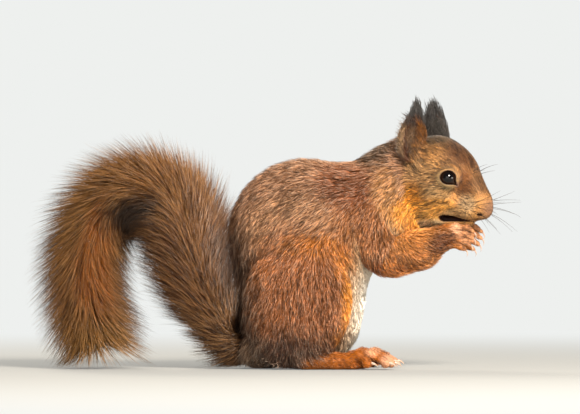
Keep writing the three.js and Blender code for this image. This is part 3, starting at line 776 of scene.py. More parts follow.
def paint_eye_region(colour, q):
    """A pale ring, a shaded brow, dark lid edges and a pink corner towards the nose."""
    d = q - EYE
    forward, up = d @ EYE_FORWARD, d @ EYE_UP
    near_eye = np.linalg.norm(d, axis=1) < 12
    ring = near_eye * (1 - smooth_step(5.9, 6.9, np.hypot(forward, up + 0.3)))
    high = smooth_step(-5, 5, forward * 0.6 + up)[:, None]
    ring_colour = linear("#9c8767") * (1 - high) + linear("#957656") * high
    colour += 0.85 * ring[:, None] * (ring_colour - colour)
    from_eye = np.hypot(forward, up)
    brow = near_eye * smooth_step(6.9, 7.8, from_eye)
    brow *= (1 - smooth_step(8.2, 9.6, from_eye)) * smooth_step(-2, 4, forward + up)
    colour *= (1 - 0.35 * brow)[:, None]
    lid = near_eye * (1 - smooth_step(0.3, 0.8, eye_opening(q)))
    corner = near_eye * (1 - smooth_step(0.6, 1.8, np.hypot(forward - 5.0, up + 3.7)))
    return tinted(tinted(colour, "#2a1c16", lid), "#a88674", 0.75 * corner)


def paint_head(q):
    q = folded(q)
    colour = paint_eye_region(airbrush("#b98a5a", q, HEAD_STROKES), q)
    # Painted shade along the cheek fold.
    fold = 0.3 * (1 - smooth_step(0.2, 1.6, cheek_fold(q)))
    colour *= (1 - fold * (q[:, 2] < 93))[:, None]
    # Painted shade: the mouth and the tongue are painted near black, and the nostrils and the fold
    # beside the nose dark.
    mouth = 1 - smooth_step(0.0, 0.7, np.minimum(gape(q), tongue(q) + 0.3))
    nose = 1 - smooth_step(0.0, 0.6, np.minimum(nostril(q), nose_fold(q) + 0.25))
    return tinted(tinted(colour, "#2c120d", mouth), "#2b1a14", 0.9 * nose)


print("paint on the brow:", paint_head(np.array([[112.0, 0, 118]])).round(2))


# %% Markings of the ears, hands and feet
def paint_ear(q, side):
    w = ear_frame(q, EARS[side])
    far_ear = "#3f3b37"
    colour = np.tile(linear("#5a4430" if side == "right" else far_ear), (len(q), 1))
    # The inside of the scoop is darker: partly its own brown hair and partly painted shade; the canal
    # deep in it is painted shade.
    inner = smooth_step(-1.8, -0.6, w[:, 1] - 0.4 * np.abs(w[:, 0] / 6) ** 2)
    colour = tinted(colour, "#4a2f20", inner)
    from_canal = np.linalg.norm((w - [0.6, 0, -7.4]) / [2.6, 9, 4.2], axis=1)
    colour = tinted(colour, "#2e1a12", 0.9 * (1 - smooth_step(0.6, 1.5, from_canal)) * inner)
    rim = smooth_step(-0.4, 0.5, w[:, 1]) * smooth_step(3.4, 5.0, -w[:, 0])
    colour = tinted(colour, "#a58a6c", 0.6 * rim)
    front = smooth_step(0, 2.2, w[:, 0] - (1.6 + 0.22 * w[:, 2]))
    low = (1 - smooth_step(-9, -2, w[:, 2]))[:, None]
    fore = linear("#6f4418") * (1 - low) + linear("#7d5833") * low
    fore = fore if side == "right" else linear(far_ear)
    colour += (0.9 * front)[:, None] * (fore - colour)
    return tinted(colour, "#2b2725", 0.9 * smooth_step(8.5, 12.5, w[:, 2]))


def paint_hands(q):
    colour = airbrush("#a56a3c", q, [
        # The wrist stroke is painted shade behind the hand, and the knuckle stroke a painted highlight.
        ["#5f2d10", (96, 6, 71), (6, 10, 8), 0.85],     # wrist
        ["#e0b596", (103.6, 5.4, 76.0), (3.4, 7, 4.5), 0.85],# knuckles
        ["#bd8c6a", (110, 5.4, 72), (6, 7, 8), 0.85],   # fingers
    ])
    # Painted shade between the fingers.
    between = smooth_step(-0.2, 1.2, np.sort([f(q) for f in finger_forms], axis=0)[1])
    return colour * (0.45 + 0.55 * between)[:, None]


def paint_feet(q):
    colour = airbrush("#9d5c2c", q, [
        ["#8a532a", (26, FOOT_SPREAD, 5), (14, 14, 10), 0.7],   # heel
        # The knuckle stroke is a painted highlight.
        ["#d9a482", (57, FOOT_SPREAD, 9.5), (5, 12, 3.5), 0.8], # knuckles
        ["#c49a80", (66, FOOT_SPREAD, 4), (5, 12, 5), 0.8],     # toes
    ])
    # Painted shade between the toes.
    between = smooth_step(-0.2, 1.3, np.sort([f(q) for f in toe_forms], axis=0)[1])
    return colour * (0.25 + 0.75 * between)[:, None]


for name, painted in (("ear canal", paint_ear(np.array([[85.4, -15.0, 118]]), "right")),
                      ("palm", paint_hands(np.array([[99.0, 5.4, 73]])))):
    print(name, painted.round(2))


# %% Markings of the tail
AT_ONCE = 4000


def tail_place(p):
    """Nearest place along the tail core (0 to 1), and the way out from it."""
    flat = p[:, [0, 2]]
    nearest = np.concatenate([
        ((flat[i:i + AT_ONCE, None] - core) ** 2).sum(-1).argmin(1)
        for i in range(0, len(p), AT_ONCE)
    ])
    offset = np.stack([flat[:, 0] - core[nearest, 0], p[:, 1], flat[:, 1] - core[nearest, 1]], 1)
    return nearest / (len(core) - 1), offset, nearest


# Colours from the tail's root to its tip.
TAIL_COLOURS = ["#664b34", "#4b2c12", "#4f2e13", "#6b4522", "#835c33", "#7a5230", "#96703f"]


def paint_tail(p):
    """An orange stripe down the side, with painted shade inside the arch, near the root and in the
    crease where the tail meets the rump.
    """
    place, offset, nearest = tail_place(p)
    steps = np.array([linear(c) for c in TAIL_COLOURS])
    at = place * (len(steps) - 1)
    colour = np.stack([np.interp(at, np.arange(len(steps)), steps[:, k]) for k in range(3)], 1)
    outside = np.stack([core_along[nearest, 1], np.zeros(len(p)), -core_along[nearest, 0]], 1)
    inner = -(unit(offset) * outside).sum(1)
    stripe = band(0.56, 0.66, 0.80, 0.92, place)
    stripe = stripe * smooth_step(-0.35, 0.1, inner) * (1 - 0.8 * smooth_step(0.55, 0.9, inner))
    colour = tinted(colour, "#a8602a", 0.7 * stripe)
    # Painted shade: under the arch, on the inside of the hanging part, a little near the root, and in
    # the crease by the rump.
    under = band(0.36, 0.46, 0.6, 0.7, place) * smooth_step(-0.05, 0.5, inner)
    edge = band(0.6, 0.66, 0.9, 1.0, place) * smooth_step(0.6, 0.9, inner)
    rump = 1 - smooth_step(0.0, 0.16, place)
    crease = smooth_step(0.35, 0.95, -inner) * (1 - smooth_step(0.24, 0.36, place))
    shade = (1 - 0.86 * under) * (1 - 0.55 * edge) * (1 - 0.2 * rump) * (1 - 0.65 * crease)
    return colour * shade[:, None]


print("tail colours:", TAIL_COLOURS)


# %% The whole coat's colour
def is_part(part, *names):
    """Which entries of an array of part numbers are one of the named parts."""
    return np.isin(part, [part_names.index(n) for n in names])


def paint(p, part):
    """The coat's colour at points p, where part says which form each belongs to."""
    colour = airbrush("#a87f62", folded(p), BODY_STROKES)
    trunk_here = is_part(part, "trunk")
    if trunk_here.any():
        q = folded(p[trunk_here])
        belly = airbrush(colour[trunk_here], q, BELLY_STROKES)
        # Painted shade: the trunk is darkened a little where the thigh meets it.
        shade_by_thigh = 0.1 * (1 - smooth_step(0.5, 5.0, thighs(q))) * (q[:, 2] > 40)
        colour[trunk_here] = belly * (1 - shade_by_thigh)[:, None]
    arm = is_part(part, "forearm_right", "forearm_left")
    if arm.any():
        colour[arm] = airbrush("#c08250", folded(p[arm]), ARM_STROKES)
    q = to_head(p)
    for name, painter in (
        ("head", lambda m: paint_head(q[m])),
        ("ear_right", lambda m: paint_ear(q[m], "right")),
        ("ear_left", lambda m: paint_ear(q[m], "left")),
        ("hands", lambda m: paint_hands(hand_frame(p[m]))),
        ("feet", lambda m: paint_feet(foot_frame(p[m]))),
        ("tail", lambda m: paint_tail(p[m])),
    ):
        chosen = is_part(part, name)
        if chosen.any():
            colour[chosen] = painter(chosen)
    return richer(colour)


skin_colour = paint(skin_points, skin_part)
print("mean skin colour:", skin_colour.mean(0).round(3))

# %% [markdown]
# ## An unwrap of the skin
# Hair and skin share one unwrap, so that a baked picture of either keeps its colours. The skin
# is cut into its parts, left and right apart, and each of those into six faces, as if it stood
# in a box. The faces are then packed on shelves, tallest first, and drawn smaller until they fit.

# %% Unwrap
SHELF_GAP, LARGEST_MAP, TRIES, SMALLER = 0.004, 330.0, 60, 0.97


def unwrap():
    corners = skin_points[skin_quads]
    across = np.cross(corners[:, 2] - corners[:, 0], corners[:, 3] - corners[:, 1])
    facing = np.abs(across).argmax(1)
    sign = across[np.arange(len(across)), facing] > 0
    part = skin_part[skin_quads[:, 0]]
    side = corners[:, :, 1].mean(1) > 0
    chart = ((part * 3 + facing) * 2 + sign) * 2 + side
    flat = np.stack([
        np.take_along_axis(corners, ((facing + k) % 3)[:, None, None].repeat(4, 1), 2)[:, :, 0]
        for k in (1, 2)
    ], -1)
    names, inverse = np.unique(chart, return_inverse=True)
    low = np.full((len(names), 2), 1e9)
    high = -low
    for k in range(4):
        np.minimum.at(low, inverse, flat[:, k])
        np.maximum.at(high, inverse, flat[:, k])
    size = high - low
    scale = 1 / LARGEST_MAP
    for _ in range(TRIES):
        order, place = np.argsort(-size[:, 1]), np.zeros_like(low)
        x = y = shelf = 0.0
        for c in order:
            w, h = size[c] * scale + SHELF_GAP
            if x + w > 1:
                x, y, shelf = 0.0, y + shelf, 0.0
            place[c] = x, y
            x, shelf = x + w, max(shelf, h)
        if y + shelf <= 1:
            break
        scale *= SMALLER
    uv = (flat - low[inverse][:, None]) * scale + place[inverse][:, None] + SHELF_GAP / 2
    print("charts:", len(names), " mm across the map:", round(1 / scale))
    return uv


skin_uv = unwrap()


# %% [markdown]
# ## Meshes from arrays
# Blender builds a mesh fastest from whole arrays. One function makes every piece: points,
# faces, smooth shading, an unwrap if there is one, and values carried on the points.

# %% Make a piece
def make_piece(name, points, loops, sizes, uv=None, values=None):
    mesh = bpy.data.meshes.new(name)
    mesh.vertices.add(len(points))
    mesh.vertices.foreach_set("co", (np.asarray(points) * MM).astype(np.float32).ravel())
    mesh.loops.add(len(loops))
    mesh.loops.foreach_set("vertex_index", np.asarray(loops, np.int32))
    mesh.polygons.add(len(sizes))
    starts = np.r_[0, np.cumsum(sizes)[:-1]].astype(np.int32)
    mesh.polygons.foreach_set("loop_start", starts)
    mesh.update(calc_edges=True)
    mesh.polygons.foreach_set("use_smooth", np.ones(len(sizes), bool))
    if uv is not None:
        layer = mesh.uv_layers.new(name="OFBake")
        layer.uv.foreach_set("vector", uv.astype(np.float32).ravel())
    for key, value in (values or {}).items():
        kind = "FLOAT_COLOR" if value.ndim == 2 else "FLOAT"
        field = "color" if value.ndim == 2 else "value"
        made = mesh.attributes.new(key, kind, "POINT")
        if value.ndim == 2:
            value = np.c_[value, np.ones(len(value))]
        made.data.foreach_set(field, value.astype(np.float32).ravel())
    mesh.validate()
    piece = bpy.data.objects.new(name, mesh)
    bpy.context.scene.collection.objects.link(piece)
    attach(piece, "root")
    return piece


# %% The skin piece: bareness runs from 0 under long hair to 1 where almost none grows
skin_bare = is_part(skin_part, "hands", "feet", "ear_right", "ear_left").astype(float)
on_head = is_part(skin_part, "head")
skin_head = to_head(skin_points)
skin_bare[on_head] = 0.55 + 0.35 * smooth_step(100, 118, skin_head[on_head, 0])
pale_skin = smooth_step(0.5, 0.7, brightness(skin_colour))
skin_bare = np.maximum(skin_bare, 0.9 * pale_skin)
skin = make_piece(
    "skin", skin_points, skin_quads.ravel(), np.full(len(skin_quads), 4), skin_uv,
    {"coat_colour": skin_colour, "bareness": skin_bare},
)
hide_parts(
    "trunk", "neck", "head", "ear_right", "ear_left", "upper_arm_right", "upper_arm_left",
    "forearm_right", "forearm_left", "hand_right", "hand_left", "hind_leg_right",
    "hind_leg_left", "foot_right", "foot_left", "tail_base", "tail_rise", "tail_arch",
    "tail_fall", "tail_tip",
)
print("skin piece:", len(skin.data.polygons), "faces")

# %% [markdown]
# ## How the coat lies
# Fur is combed, not scattered. Each line of the table is one stroke of the comb: where it is,
# which way the hair runs there as seen from the side, how long the hair is and how high its
# tips stand over the skin. Between the strokes the coat takes a mixture of the nearest ones,
# laid flat along the skin. A painted comb map would do the same, but can't be read in a script.

# %% Comb strokes of the body: x, y, z, run x, run z, hair length, coat height
BODY_COMB = np.array([
    [64, 0, 118, -0.90, -0.30, 9.0, 4.8],      # nape
    [71, 9, 119, -0.85, 0.25, 9.5, 7.0],       # behind the ears
    [68, 15, 103, -0.70, -0.70, 7.5, 3.6],     # side of the neck
    [75, 14, 88, -0.50, -0.86, 5.0, 2.2],      # throat
    [80, 4, 80, 0.20, -1.00, 5.0, 2.2],
    [42, 0, 112, -1.00, -0.02, 9.0, 4.3],      # saddle
    [44, 20, 102, -0.90, -0.38, 8.5, 4.2],
    [16, 0, 115, -0.92, -0.40, 9.5, 4.5],      # back
    [20, 26, 95, -0.80, -0.60, 9.5, 4.5],
    [0, 10, 101, -0.70, -0.70, 9.5, 4.5],
    [-12, 8, 88, -0.35, -0.93, 10, 4.6],       # rump
    [-17, 8, 64, -0.08, -1.00, 10, 4.6],
    [8, 30, 80, -0.60, -0.80, 9.5, 4.5],       # flank
    [32, 28, 87, -0.78, -0.62, 9.0, 4.3],
    [22, 36, 74, -0.80, -0.60, 8.0, 4.0],
    [38, 30, 77, -0.70, -0.70, 7.5, 3.6],
    [20, 36, 62, -0.40, -0.92, 8.5, 4.2],      # below the whorl on the knee
    [36, 34, 63, 0.35, -0.93, 8.0, 4.0],
    [45, 28, 66, 0.50, -0.86, 7.0, 3.4],
    [49, 28, 50, 0.08, -1.00, 7.0, 3.4],
    [20, 36, 48, -0.12, -1.00, 9.0, 4.3],      # haunch
    [0, 34, 52, -0.28, -0.96, 9.5, 4.4],
    [38, 35, 38, 0.00, -1.00, 8.5, 4.0],
    [20, 35, 22, 0.08, -1.00, 9.0, 4.0],
    [40, 32, 16, 0.35, -0.93, 8.0, 3.6],
    [-8, 25, 24, -0.35, -0.95, 12, 5.0],
    [-9, 12, 14, -0.75, -0.66, 13, 5.5],
    [-2, 22, 8, -0.60, -0.80, 11, 5.0],
    [30, 28, 4, 0.75, -0.70, 8.0, 3.0],
    [58, 24, 88, -0.50, -0.86, 8.5, 4.0],      # shoulder
    [50, 26, 73, -0.28, -0.96, 8.0, 3.9],
    [60, 27, 62, 0.05, -1.00, 8.0, 3.6],
    [66, 25, 75, -0.10, -1.00, 8.0, 3.6],
    [60, 18, 50, 0.25, -0.97, 8.0, 4.6],
    [70, 0, 70, 0.20, -1.00, 10, 3.8],         # chest and belly
    [62, 0, 52, 0.10, -1.00, 11, 2.6],
    [58, 0, 36, 0.05, -1.00, 12, 6.4],
    [54, 0, 22, 0.05, -1.00, 12, 7.8],
    [46, 0, 8, -0.10, -1.00, 10, 6.5],
])
print("comb strokes on the body:", len(BODY_COMB))

# %% Comb strokes of the arms and the head, in the same order
ARM_COMB = np.array([
    [70, 20, 72, 0.45, -0.90, 6.5, 2.5],
    [72, 26, 60, 0.50, -0.86, 6.5, 2.5],
    [72, 18, 50, 0.75, -0.66, 9.0, 4.8],
    [84, 16, 75, 0.92, -0.35, 5.5, 2.1],
    [84, 22, 66, 0.85, -0.50, 5.5, 2.1],
    [86, 16, 56, 0.95, -0.25, 7.0, 4.0],
    [97, 16, 77, 1.00, -0.15, 3.5, 1.3],
    [98, 14, 67, 0.95, 0.25, 4.0, 1.5],
])
HEAD_COMB = np.array([
    [123, 2, 88, -0.80, 0.50, 1.2, 0.40],      # nose
    [121, 0, 100, -0.35, 0.93, 2.0, 0.65],     # bridge
    [118, 0, 110, -0.50, 0.86, 2.4, 0.75],
    [112, 0, 120, -0.75, 0.65, 2.8, 0.90],     # forehead
    [98, 0, 129, -0.95, 0.20, 3.2, 1.2],       # crown
    [82, 0, 124, -0.90, -0.40, 6.0, 2.8],
    [78, 12, 120, -0.80, 0.45, 7.0, 5.5],      # behind the ear
    [114, 9, 86, -1.00, 0.02, 1.8, 0.55],      # whisker pad
    [112, 10, 94, -0.95, 0.30, 2.0, 0.65],
    [113, 10, 105, -0.70, 0.70, 1.8, 0.60],    # in front of the eye
    [104, 14, 113, -0.85, 0.50, 2.2, 0.75],
    [96, 17, 106, -0.98, -0.10, 2.8, 1.1],     # behind it
    [104, 15, 97, -1.00, -0.10, 2.2, 0.80],
    [90, 17, 114, -0.95, 0.20, 3.0, 1.3],      # temple
    [92, 19, 98, -0.90, -0.40, 3.6, 1.6],      # cheek
    [98, 17, 88, -0.95, -0.30, 3.4, 1.4],
    [80, 17, 90, -0.75, -0.65, 6.0, 2.6],      # back of the jaw
    [78, 17, 106, -0.85, -0.50, 7.0, 3.2],
    [96, 6, 79, -1.00, -0.10, 2.8, 1.1],       # chin
    [108, 8, 82.5, -1.00, -0.10, 1.4, 0.50],   # lip
])
print("comb strokes on the arms:", len(ARM_COMB), "and on the head:", len(HEAD_COMB))

# %% Comb
COMB_SOFTNESS = 6


def comb(p, table):
    """Run (in x and z), length and height at points p, from the nearest comb strokes."""
    apart = ((p[:, None] - table[:, :3]) * [1, 0.6, 1]) ** 2
    weight = 1 / (apart.sum(2) + COMB_SOFTNESS) ** 2
    found = weight @ table[:, 3:] / weight.sum(1, keepdims=True)
    return found[:, :2], found[:, 2], found[:, 3]


run, long, high = comb(np.array([[20.0, 30, 50]]), BODY_COMB)
print("on the haunch the hair runs", run.round(2), "and is", long.round(1), "mm long")

# %% [markdown]
# ## Where hair grows
# Roots are strewn over the skin by area, closer together where hair is short and fine. None
# grow on the eyelids' edges, in the mouth and nostrils, on the palms, fingertips and soles.

# %% How many roots grow, and where none do
PER_MM2 = {
    "trunk": 1.9, "thighs": 2.0, "upper_arms": 2.2, "neck": 2.2, "forearm_right": 2.8,
    "forearm_left": 2.4, "hands": 6.0, "feet": 2.6, "head": 4.0, "ear_right": 5.0,
    "ear_left": 4.0, "tail": 7.4,
}
BELLY_TIMES, FACE_MORE, INSIDE_EAR_TIMES = 1.5, 1.2, 0.5
FINGERTIP_X, TOETIP_X, SOLE_HEIGHT, ON_THE_FLOOR = 111.5, 65, 1.4, 0.25


def inside_ear(w):
    return (w[:, 1] > -0.9) & (np.abs(w[:, 0]) < 4.6)


def roots_wanted(part):
    """How many roots each face of the skin should have."""
    corners = skin_points[skin_quads]
    area = np.linalg.norm(
        np.cross(corners[:, 2] - corners[:, 0], corners[:, 3] - corners[:, 1]), axis=1) / 2
    middle = corners.mean(1)
    wanted = area * np.array([PER_MM2[n] for n in part_names])[part]
    q = folded(to_head(middle))
    belly = (middle[:, 0] > 45) & (middle[:, 2] < 78) & is_part(part, "trunk")
    wanted[belly] *= BELLY_TIMES
    on_head = is_part(part, "head")
    lids = (np.linalg.norm(q - EYE, axis=1) < 9) & (eye_opening(q) < 1.0)
    bare = lids | (gape(q) < 0.7) | (nostril(q) < 0.35)
    wanted[on_head & bare] = 0
    wanted[on_head] *= 1 + FACE_MORE * smooth_step(96, 112, q[on_head, 0])
    h = hand_frame(middle)
    palm_or_tip = (h[:, 1] < HAND_OFFSET - 0.6) | (h[:, 0] > FINGERTIP_X)
    wanted[is_part(part, "hands") & palm_or_tip] = 0
    sole_or_tip = (middle[:, 2] < SOLE_HEIGHT) | (foot_frame(middle)[:, 0] > TOETIP_X)
    wanted[is_part(part, "feet") & sole_or_tip] = 0
    wanted[middle[:, 2] < ON_THE_FLOOR] = 0
    for side in ("right", "left"):
        w = ear_frame(to_head(middle), EARS[side])
        wanted[is_part(part, "ear_" + side) & inside_ear(w)] *= INSIDE_EAR_TIMES
    return wanted


face_part = skin_part[skin_quads[:, 0]]
wanted = roots_wanted(face_part)
print("roots wanted:", round(wanted.sum()))


# %% Roots
def strew():
    """Picks faces evenly along the running total of roots, and a chance place in each."""
    total = np.cumsum(wanted)
    count = int(total[-1])
    face = np.searchsorted(total, (np.arange(count) + rng.random(count)) * total[-1] / count)
    face = np.minimum(face, len(skin_quads) - 1)
    u, v = rng.random((2, count, 1))
    share = np.stack([(1 - u) * (1 - v), u * (1 - v), u * v, (1 - u) * v], 1)
    ring = skin_quads[face]
    return {
        "at": (skin_points[ring] * share).sum(1),
        "normal": unit((skin_normals[ring] * share).sum(1)),
        "uv": (skin_uv[face] * share).sum(1),
        "part": face_part[face],
    }


roots = strew()
for n, name in enumerate(part_names):
    print(name, (roots["part"] == n).sum(), end="; ")
print("roots in all:", len(roots["at"]))


# %% Combing: lie, length, height, width and paleness of the tip for every root
def of_part(*names):
    return is_part(roots["part"], *names)


def flat_on(direction, normal):
    """A direction laid flat on the skin."""
    return unit(direction - (direction * normal).sum(1, keepdims=True) * normal)


def combed(p, table):
    """Lie, length and height at points p, from a comb table."""
    run, length, height = comb(folded(p), table)
    return np.stack([run[:, 0], np.zeros(len(p)), run[:, 1]], 1), length, height


everywhere = len(roots["at"])
hair = {"lie": np.zeros((everywhere, 3))}
for key in ("length", "height", "width", "frost"):
    hair[key] = np.zeros(everywhere)


def set_hair(chosen, lie, length, height, width, frost):
    """Sets everything about the chosen hairs; frost is how pale their tips are."""
    for key, value in zip(hair, (lie, length, height, width, frost)):
        hair[key][chosen] = value


on_straight_head = to_head(roots["at"])
arm, face = of_part("forearm_right", "forearm_left"), of_part("head")
set_hair(slice(None), *combed(roots["at"], BODY_COMB), 0.42, 0.85)
set_hair(arm, *combed(roots["at"][arm], ARM_COMB), 0.42, 0.45)
lie, length, height = combed(on_straight_head[face], HEAD_COMB)
width = 0.38 + 0.08 * (1 - smooth_step(80, 112, on_straight_head[face, 0]))
set_hair(face, turn_vectors(lie), 1.25 * length, height, width, 0.3)
set_hair(of_part("hands"), [0.97, 0, -0.2], 1.7, 0.35, 0.25, 0.25)
set_hair(of_part("feet"), [0.96, 0, -0.3], 3.0, 0.8, 0.25, 0.25)
print("mean hair length on the head:", hair["length"][face].mean().round(1), "mm")


# %% Combing the ears, the places behind them, the toes and the belly
def comb_ear(side):
    """Upwards, and longer inside the scoop, at the front edge and all along the rim."""
    chosen = of_part("ear_" + side)
    w = ear_frame(on_straight_head[chosen], EARS[side])
    inside = inside_ear(w)
    edge = smooth_step(3.6, 6.0, np.hypot(w[:, 0], w[:, 2] * 0.5))
    rear = edge * (w[:, 0] < 0)
    fore = smooth_step(0, 2.5, w[:, 0] - 1.0 - 0.22 * w[:, 2])
    lie = turn_vectors(np.stack([-0.35 - 0.75 * rear, 0 * edge, 1.0 - 0.3 * rear], 1))
    length = 2.4 + 1.8 * edge + 1.6 * inside + 1.5 * fore
    height = 0.5 + 0.9 * rear + 0.5 * inside + 0.8 * fore
    set_hair(chosen, lie, length, height, 0.26, 0.2 + 0.5 * rear)


def move_towards(key, target, amount):
    """Moves one property of every hair towards a target, by an amount for each hair."""
    hair[key] += amount * (target - hair[key])


comb_ear("right")
comb_ear("left")
EAR_FOOT, EAR_FOOT_REACH = [87.5, 15, 112], [7, 9, 9]
from_ear = np.linalg.norm((folded(on_straight_head) - EAR_FOOT) / EAR_FOOT_REACH, axis=1)
by_ear = face * (1 - smooth_step(0.5, 1.1, from_ear))
move_towards("length", 4.5, by_ear)
move_towards("height", 1.8, by_ear)
move_towards("lie", turn_vectors(np.array([[-0.5, 0.1, 0.8]])), by_ear[:, None])
TOES_FROM, TOE_HAIR = 53, 1.6
hair["length"][of_part("feet") & (foot_frame(roots["at"])[:, 0] > TOES_FROM)] = TOE_HAIR
# Cream hair is thicker, has no pale tip, and varies less from lock to lock.
cream = smooth_step(0.52, 0.72, brightness(paint(roots["at"], roots["part"])))
hair["width"] *= 1 + 0.3 * cream
hair["frost"] *= 1 - 0.95 * cream
long = hair["length"][~of_part("tail")]
print("hair lengths, apart from the tail:", long.min().round(1), "to", long.max().round(1), "mm")

# %% [markdown]
# ## Locks of hair
# Each lock is a closed three-sided blade, thick at the root and drawn to a point. Those on the
# head are straight, those on the body and the tail have one bend, and the ear tufts' have two.
# Real hair clings in little wedges, so each lock also leans towards a neighbour chosen as the
# leader of its group.

# %% Locks that cling together
def follow_leaders(path, group_size, pull):
    """Draws each lock towards the lock that leads its group, most at the tip."""
    tips = path[:, -1]
    leaders = rng.choice(len(tips), max(1, len(tips) // group_size), replace=False)
    tree = KDTree(len(leaders))
    for i, k in enumerate(leaders):
        tree.insert(tips[k], i)
    tree.balance()
    lead = leaders[[tree.find(t)[1] for t in tips]]
    for step in range(1, path.shape[1]):
        t = step / (path.shape[1] - 1)
        path[:, step] += pull * t**1.5 * (path[lead, step] - path[:, step])
    return path


print("roots ready for locks:", len(roots["at"]))

# %% Blades
UV_PATCH = 0.003
coat = []


def blade_mesh(name, path, across, up, thick, uv, values, slot):
    """Closed blades along paths: (locks, steps, 3), the last step being the tip."""
    locks, steps = path.shape[:2]
    rings = steps - 1
    around = np.radians([90, 210, 330])
    points = np.empty((locks, rings * 3 + 1, 3))
    for r in range(rings):
        size = (0.75 if r == 0 else 1.0 - 0.45 * r / rings) * thick[:, None] / 2
        for c, a in enumerate(around):
            corner = path[:, r] + size * (math.cos(a) * across + 0.7 * math.sin(a) * up)
            points[:, r * 3 + c] = corner
    points[:, -1] = path[:, -1]
    loops, sizes, patch = [2, 1, 0], [3], [(0, 0)] * 3
    for r in range(rings - 1):
        for c in range(3):
            d = (c + 1) % 3
            loops += [r * 3 + c, r * 3 + d, r * 3 + 3 + d, r * 3 + 3 + c]
            patch += [(c / 3, r), (c / 3 + 0.33, r), (c / 3 + 0.33, r + 1), (c / 3, r + 1)]
            sizes.append(4)
    for c in range(3):
        loops += [(rings - 1) * 3 + c, (rings - 1) * 3 + (c + 1) % 3, rings * 3]
        patch += [(c / 3, rings - 1), (c / 3 + 0.33, rings - 1), (c / 3 + 0.17, rings)]
        sizes.append(3)
    base = np.arange(locks)[:, None] * (rings * 3 + 1)
    patch = (np.array(patch) / [1, rings] - 0.5) * UV_PATCH
    along = np.r_[np.repeat(np.arange(rings) / rings, 3), 1.0]
    carried = {key: np.repeat(value, rings * 3 + 1, axis=0) for key, value in values.items()}
    carried["along"] = np.tile(along, locks)
    piece = make_piece(
        name, points.reshape(-1, 3), (base + np.array(loops)).ravel(), np.tile(sizes, locks),
        (uv[:, None] + patch).reshape(-1, 2), carried,
    )
    triangles = locks * (6 * (rings - 1) + 4)
    coat.append({"piece": piece, "slot": slot, "locks": locks, "triangles": triangles})
    print(name, locks, "locks,", triangles, "triangles")


print("patch of each lock on the unwrap:", UV_PATCH)


# %% Paths of the body's locks
SINK, DEEPEST, HIGHEST, LOOSENESS = 0.4, -3.5, 4.5, 0.16


def lay_locks(chosen, steps, group_size, pull):
    """Paths of body locks: out of the skin, then along it at the coat's height."""
    p, n = roots["at"][chosen], roots["normal"][chosen]
    count = len(p)
    along = hair["lie"][chosen] + LOOSENESS * rng.normal(size=(count, 3))
    d = flat_on(along, n)
    low_down = p[:, 2] < 40
    by_tail = smooth_step(4.9, 5.5, hair["height"][chosen]) * (p[:, 0] < 0) * low_down
    outward = smooth_step(0.85, 0.97, (unit(along) * n).sum(1)) * low_down
    stands = np.maximum(0.8 * by_tail, outward)
    d = unit(d + stands[:, None] * (unit(along) - d))
    reach = hair["length"][chosen] * rng.uniform(0.72, 1.22, count) * (1 - 0.6 * outward)
    rise = hair["height"][chosen] * rng.uniform(0.55, 1.12, count)
    path = [p - SINK * n]
    for t in np.arange(1, steps) / (steps - 1):
        q = p + d * (reach * t)[:, None]
        off = rise * (1 - (1 - t) ** 1.7) - in_pieces(skin_distance, q)
        path.append(q + n * np.clip(off, DEEPEST, HIGHEST)[:, None])
    return follow_leaders(np.stack(path, 1), group_size, pull), d, n


print("each lock starts", SINK, "mm under the skin")

# %% [markdown]
# ## Strands
# A coat looks like hair because neighbours along the lie of the hair share their light and
# dark. So chance numbers are added up along each lock's own direction, which draws them out
# into strands, and are then spread evenly from dark to bright.

# %% Light and dark strands
STRAND_SHARE = [0, 0.15, 0.5, 0.8, 0.92, 1]
STRAND_BRIGHTNESS = [0.28, 0.58, 0.98, 1.25, 1.55, 1.9]
HASH = np.array([73856093, 19349663, 83492791])
CHANCES = 65536
chance = rng.random(CHANCES)


def streaks(p, d, reach, cell):
    """Chance drawn out along the lie of the hair, 0 to 1, so that it falls in long strands."""
    total = np.zeros(len(p))
    for t in np.linspace(-1, 1, 9):
        i = np.round((p + d * reach * t) / cell).astype(np.int64) * HASH
        total += chance[(i[:, 0] ^ i[:, 1] ^ i[:, 2]) % CHANCES]
    return total.argsort().argsort() / len(p)


def strands(drawn_out, own):
    """Each lock's brightness: a few are dark, and a few catch the light."""
    alone = np.interp(rng.random(len(drawn_out)), STRAND_SHARE, STRAND_BRIGHTNESS)
    return np.interp(drawn_out, STRAND_SHARE, STRAND_BRIGHTNESS) * alone**own


# Half the length and the width of a strand in mm, how much a lock differs from its strand,
# the contrast, and the brightest that a lock may be.
BODY_STRANDS = {"reach": 4.0, "cell": 0.75, "own": 0.45, "contrast": 1.0, "brightest": 9.0}
ARM_STRANDS = BODY_STRANDS | {"reach": 2.5, "cell": 0.6}
PAW_STRANDS = BODY_STRANDS | {"reach": 1.5, "cell": 0.5}
EAR_STRANDS = BODY_STRANDS | {"reach": 2.0, "cell": 0.5}
FACE_STRANDS = {"reach": 1.4, "cell": 0.65, "own": 1.0, "contrast": 2.0, "brightest": 1.75}
print("a lock's brightness:", STRAND_BRIGHTNESS[0], "to", STRAND_BRIGHTNESS[-1])


# %% Coat of the body, head and limbs
LOWEST_HAIR = 0.35


